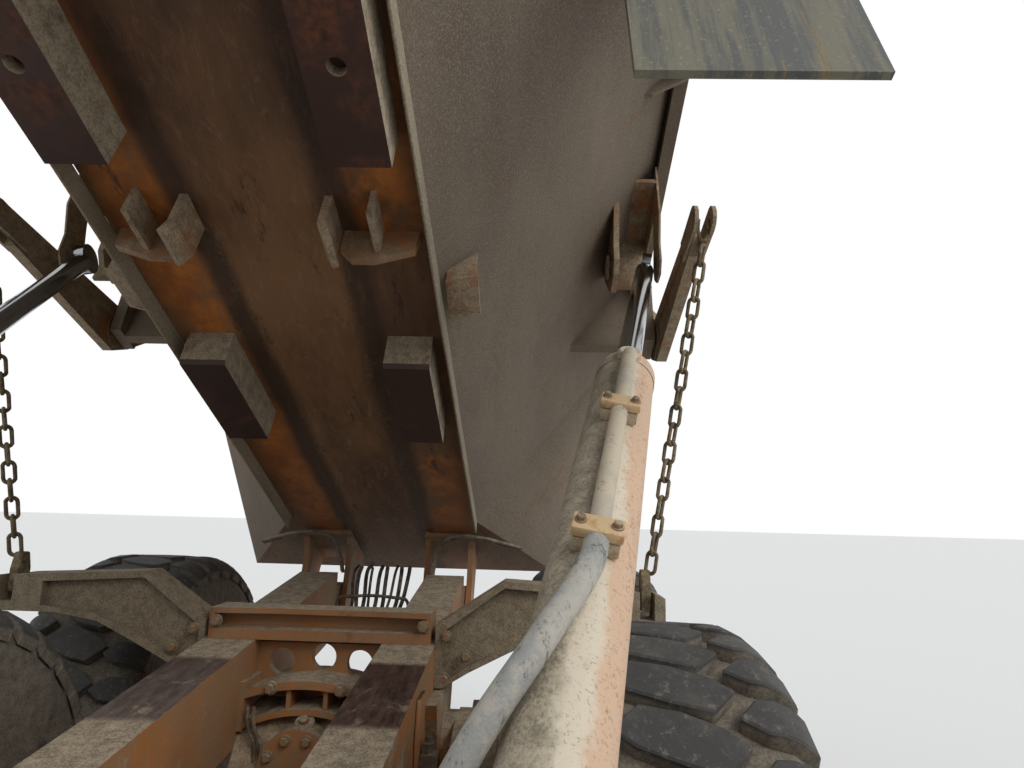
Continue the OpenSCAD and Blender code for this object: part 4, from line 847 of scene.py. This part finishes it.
rings = [copy_at(block_row, Matrix.Rotation(2 * math.pi * k / PITCHES, 4, "Y")) for k in range(PITCHES)]
tyre = joined("tyre", [carcass] + rings)
drop(block_row)


def tyre_finish(name, axle_x):
    """Rubber whose blocks are scuffed and dusty on top, with mud in the grooves and on the walls."""
    rubber = Finish(name, colour(56, 55, 54), 0.8)
    away_x, away_z = rubber.along("X") - axle_x, rubber.along("Z") - TYRE_R
    radius = (away_x * away_x + away_z * away_z).root()
    side = (rubber.along("Y").size() - HALF_TRACK).size()
    rubber.coat(rubber.noise(8.0, 6.0, 0.75).step(0.4, 0.65) * 0.7, colour(86, 82, 76), 0.88)
    rubber.coat(rubber.noise(46.0, 4.0, 0.8).step(0.55, 0.66) * 0.6, colour(118, 112, 102), 0.92)
    shoulder = (side - 0.205).most(0.0)
    groove = (radius + shoulder * shoulder * 6.6).step(0.795, 0.782)
    packed = groove * rubber.noise(5.0, 4.0, 0.7).step(0.22, 0.46) * 0.85
    dried_mud(rubber, packed, colour(88, 81, 71), colour(134, 123, 106), 0.002)
    rubber.coat(rubber.noise(60.0, 4.0, 0.8).step(0.6, 0.7) * 0.35, colour(36, 35, 34), 0.8)
    return rubber.done()


AXLES = {"front": 2.783, "mid": -1.390, "rear": -3.060}
SIDES = {"left": 1, "right": -1}
for k, (row, axle_x) in enumerate(AXLES.items()):
    rubber = tyre_finish(f"{row} tyre rubber", axle_x)
    for side, y in SIDES.items():
        spin = Matrix.Rotation(0.31 * k + (0.11 if y > 0 else 0.47), 4, "Y")
        seat = Matrix.Translation((axle_x, y * HALF_TRACK, TYRE_R)) @ spin
        if y < 0:
            seat = seat @ Matrix.Rotation(math.pi, 4, "Z")
        wheel_tyre = settle(copy_at(tyre, seat), f"wheel_{row}_{side}", rubber)
        wheel_tyre.name = f"tread_{row}_{side}"
        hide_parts(f"tyre_{row}_{side}")
drop(tyre)

# Rims
# Pressed rims with a ring of sixteen wheel nuts, and a planetary hub cap held by eight bolts.
rim_finish = machine_paint("rim paint", mud=0.6, rust=0.3, top_mud=0.2, film=0.5).done()
dress(rim_finish, *[f"rim_{row}_{side}" for row in AXLES for side in SIDES])
cover = turned("hub_cover", [(0.0, 0.0), (0.135, 0.0), (0.135, 0.012), (0.118, 0.020),
                             (0.110, 0.046), (0.088, 0.056), (0.0, 0.058)], 36)


def bolt_circle(count, radius, height, size):
    """Bolts in a ring about the Z axis, each turned with its place."""
    ring = []
    for k in range(count):
        angle = 2 * math.pi * k / count
        spot = (radius * math.cos(angle), radius * math.sin(angle), height)
        ring.append(copy_at(bolt, facing(spot, UP, angle) @ Matrix.Scale(size, 4)))
    return ring


NUT_FACE, HUB_FACE = 0.100, 0.198
nut_ring = joined("nuts", bolt_circle(16, 0.215, 0.0, 1.7))
hub_cap = joined("hub", [cover] + bolt_circle(8, 0.098, 0.048, 0.9))
for row, axle_x in AXLES.items():
    for side, y in SIDES.items():
        hub = Matrix.Translation((axle_x, y * HALF_TRACK, TYRE_R))
        hub = hub @ Matrix.Rotation(math.radians(-90 * y), 4, "X")
        ring = copy_at(nut_ring, hub @ Matrix.Translation((0, 0, NUT_FACE)))
        lid = copy_at(hub_cap, hub @ Matrix.Translation((0, 0, HUB_FACE)))
        wheel_nuts = joined(f"wheel_nuts_{row}_{side}", [ring, lid])
        settle(wheel_nuts, f"wheel_{row}_{side}", rim_finish)
drop(nut_ring, hub_cap)

# Cab
# A welded steel cab in orange-yellow paint with black-edged panes, handrails and a door handle.
body_paint = machine_paint("body paint", colour(206, 132, 44), 0.15, 0.15, 0.4, 0.2).done()
dress(body_paint, "hood", "cab_body", "cab_sides", "cab_door", "fenders")
dress(machine_paint("frame paint", mud=0.4, rust=0.4).done(), "front_frame", "cab_posts")
black = Finish("black paint", colour(38, 38, 38), 0.5)
dried_mud(black, black.noise(4.0, 5.0, 0.7).step(0.55, 0.7) * 0.7)
black.height = black.noise(90.0, 3.0, 0.6) * 0.0005
black_finish = black.done()
dress(black_finish, "engine", "grille", "steps", "bumper", "tanks", "exhaust", "mirrors", "cab_interior")
glazing = Finish("tinted glass", colour(60, 66, 70), 0.06)
glazing.rough = glazing.noise(5.0, 4.0, 0.6) * 0.14
glazing.shader.inputs["Alpha"].default_value = 0.45
glass = glazing.done()
dress(glass, "cab_glass")
lens = Finish("lamp lens", colour(210, 212, 210), 0.08)
lens.height = lens.cells(70.0) * 0.001
lens_finish = lens.done()
dress(lens_finish, "headlamps")


def tractor(x, y, z):
    """A place on the tractor, in millimetres from the ground under the front axle's middle."""
    return Vector((AXLES["front"] + x / 1000, y / 1000, z / 1000))


def pane(name, corners, way, body):
    """A pane with a rubber edge all round."""
    sheet = cut_plate(name, corners, Vector(way) * 0.006)
    edge = pipe(f"{name}_seal", list(corners) + [corners[0]], 0.009, 2, 1)
    return settle(sheet, body, glass), settle(edge, body, black_finish)


SCREEN = ((-664, 2366), (664, 2366), (664, 2500), (-664, 2500))
pane("windscreen", [tractor(986, y, z) for y, z in SCREEN], FORE, "tractor")
DOOR_LIGHT = ((-88, 2304), (528, 2304), (528, 3116), (-88, 3116))
pane("door_pane", [tractor(x, 758, z) for x, z in DOOR_LIGHT], LEFT, "cab_door")

rail_paint = Finish("black rail", colour(34, 34, 34), 0.4)
rail_paint.height = rail_paint.noise(60.0, 3.0, 0.6) * 0.0004
rail_finish = rail_paint.done()
grab = []
for x, side, foot, top in ((700, 1, 1800, 2900), (960, 1, 1750, 2250), (960, -1, 1750, 2250)):
    bends = ((779, foot), (835, foot + 20), (842, foot + 60), (842, top - 60), (835, top - 20), (779, top))
    grab.append(pipe("grab", [tractor(x, side * y, z) for y, z in bends], 0.014, 3))
settle(joined("grab_rails", grab), "tractor", rail_finish)
handle = ease(block("door_handle", tractor(470, 780, 2080), tractor(580, 806, 2112)), 0.006)
lock = turned("door_lock", [(0.0, 0.0), (0.016, 0.0), (0.016, 0.008), (0.012, 0.011), (0.0, 0.011)], 20)
lock.data.transform(facing(tractor(560, 779, 2050), LEFT))
settle(joined("door_handle", [handle, lock]), "cab_door", rail_finish)
gutter = ease(block("roof_gutter", tractor(-500, -784, 3330), tractor(660, -778, 3350)), 0.002)
both(copy_at(gutter, MIRROR), "tractor", body_paint)
drop(gutter)

# Cab fittings
# A cloth seat with its back, and a steering wheel with three spokes on its raked column.
seat_cloth = Finish("seat cloth", colour(52, 52, 56), 0.9)
seat_cloth.coat(seat_cloth.noise(300.0, 2.0, 0.5).step(0.4, 0.6) * 0.4, colour(74, 74, 78), 0.95)
seat_cloth.height = seat_cloth.noise(300.0, 2.0, 0.5) * 0.0006
cloth = seat_cloth.done()
cushion = ease(block("seat_cushion", tractor(-90, -240, 2122), tractor(390, 240, 2190)), 0.028, 3)
back = ease(block("seat_back", tractor(-36, -225, 2200), tractor(10, 225, 2780)), 0.02, 3)
settle(joined("seat_pads", [cushion, back]), "tractor", cloth)
clear()
bpy.ops.mesh.primitive_torus_add(major_radius=0.2, minor_radius=0.015, major_segments=32, minor_segments=10)
wheel_ring = bpy.context.object
bpy.ops.object.shade_smooth()
wheel_ring.data.transform(facing(tractor(560, 0, 2480), (-0.5, 0.0, 0.86)))
column = pipe("column", [tractor(700, 0, 2330), tractor(640, 0, 2400), tractor(566, 0, 2472)], 0.03, 3)
spokes = []
for angle in (0.0, 2.1, 4.2):
    out, aside = 170 * math.cos(angle), 170 * math.sin(angle)
    tip = tractor(560 + 0.86 * out, aside, 2480 + 0.5 * out)
    spokes.append(pipe("spoke", [tractor(564, 0, 2474), tip], 0.011, 2))
settle(joined("steering_wheel", [wheel_ring, column] + spokes), "tractor", rail_finish)

# Engine hood
# A sheet hood with pressed louvres on both flanks, latches, lamp bezels and a rubber seam where it
# meets the cab.
slats = []
for k in range(11):
    x = 1420 + 74 * k
    slat = cut_plate("slat", [tractor(x, 640, 1480), tractor(x + 46, 640, 1480), tractor(x + 46, 652, 1480)],
                     (0.0, 0.0, 0.34))
    slats.append(slat)
both(ease(joined("hood_louvres", slats), 0.002, 1), "hood", body_paint)
latch = ease(block("hood_latch", tractor(1230, 640, 1560), tractor(1290, 662, 1600)), 0.005)
both(latch, "hood", rail_finish)
bezel = ease(block("lamp_bezel", tractor(2571, 518, 1236), tractor(2600, 529, 1414)), 0.003)
both(bezel, "hood", black_finish)
SEAM = ((1085, -641, 1700), (1085, -641, 2340), (1110, -600, 2362),
        (1110, 600, 2362), (1085, 641, 2340), (1085, 641, 1700))
seam = pipe("hood_seam", [tractor(x, y, z) for x, y, z in SEAM], 0.006, 2)
settle(seam, "hood", rail_finish)

# Mirrors, tanks, steps and exhaust
# Mirror glass in its housings, straps and filler caps on the tanks, tread plates on the steps,
# and a rain cap on the exhaust.
mirror_face = Finish("mirror glass", colour(170, 174, 178), 0.04, 1.0)
mirror_face.rough = mirror_face.noise(4.0, 3.0, 0.6) * 0.08
mirror_glass = ease(block("mirror_glass", tractor(826, 1165, 2470), tractor(829.5, 1365, 2930)), 0.001, 1)
both(mirror_glass, "tractor", mirror_face.done())
# The straps' places along each tank, then the corners (y, z) of the upright and of the top length
STRAPS = (((1500, 1900), (1020, 645, 1023, 1135), (662, 1140, 1023, 1143)),
          ((1500, 2050), (-1150, 645, -1147, 1135), (-1150, 1140, -662, 1143)))
straps = []
for places, *lengths in STRAPS:
    for x in places:
        for y0, z0, y1, z1 in lengths:
            straps.append(ease(block("strap", tractor(x, y0, z0), tractor(x + 50, y1, z1)), 0.001, 1))
settle(joined("tank_straps", straps), "tractor", dull_bolt)
filler = turned("filler_cap", [(0.0, 0.0), (0.055, 0.0), (0.055, 0.02), (0.062, 0.022),
                               (0.062, 0.042), (0.05, 0.05), (0.0, 0.05)], 24)
caps = [copy_at(filler, Matrix.Translation(tractor(x, y, 1139))) for x, y in ((1720, 850), (2120, -900))]
drop(filler)
settle(joined("filler_caps", caps), "tractor", rail_finish)
studs = []
tread_stud = ease(block("stud", (-0.006, -0.006, 0.0), (0.006, 0.006, 0.004)), 0.0015, 1)
for k in range(4):
    for x in range(6):
        for y in range(3):
            spot = tractor(1030 + 58 * x, 1110 + 58 * y, 480 + 300 * k - 0.5)
            studs.append(copy_at(tread_stud, Matrix.Translation(spot)))
drop(tread_stud)
both(joined("step_studs", studs), "tractor", black_finish)
rim = []
for k in range(20):
    angle = 2 * math.pi * k / 20
    rim.append(tractor(1180 + 68 * math.cos(angle), -730 + 64 * math.sin(angle), 3001))
rain_cap = ease(cut_plate("rain_cap", rim, (0, 0, 0.008)), 0.003, 1)
settle(rain_cap, "tractor", dull_bolt)

drop(bolt)
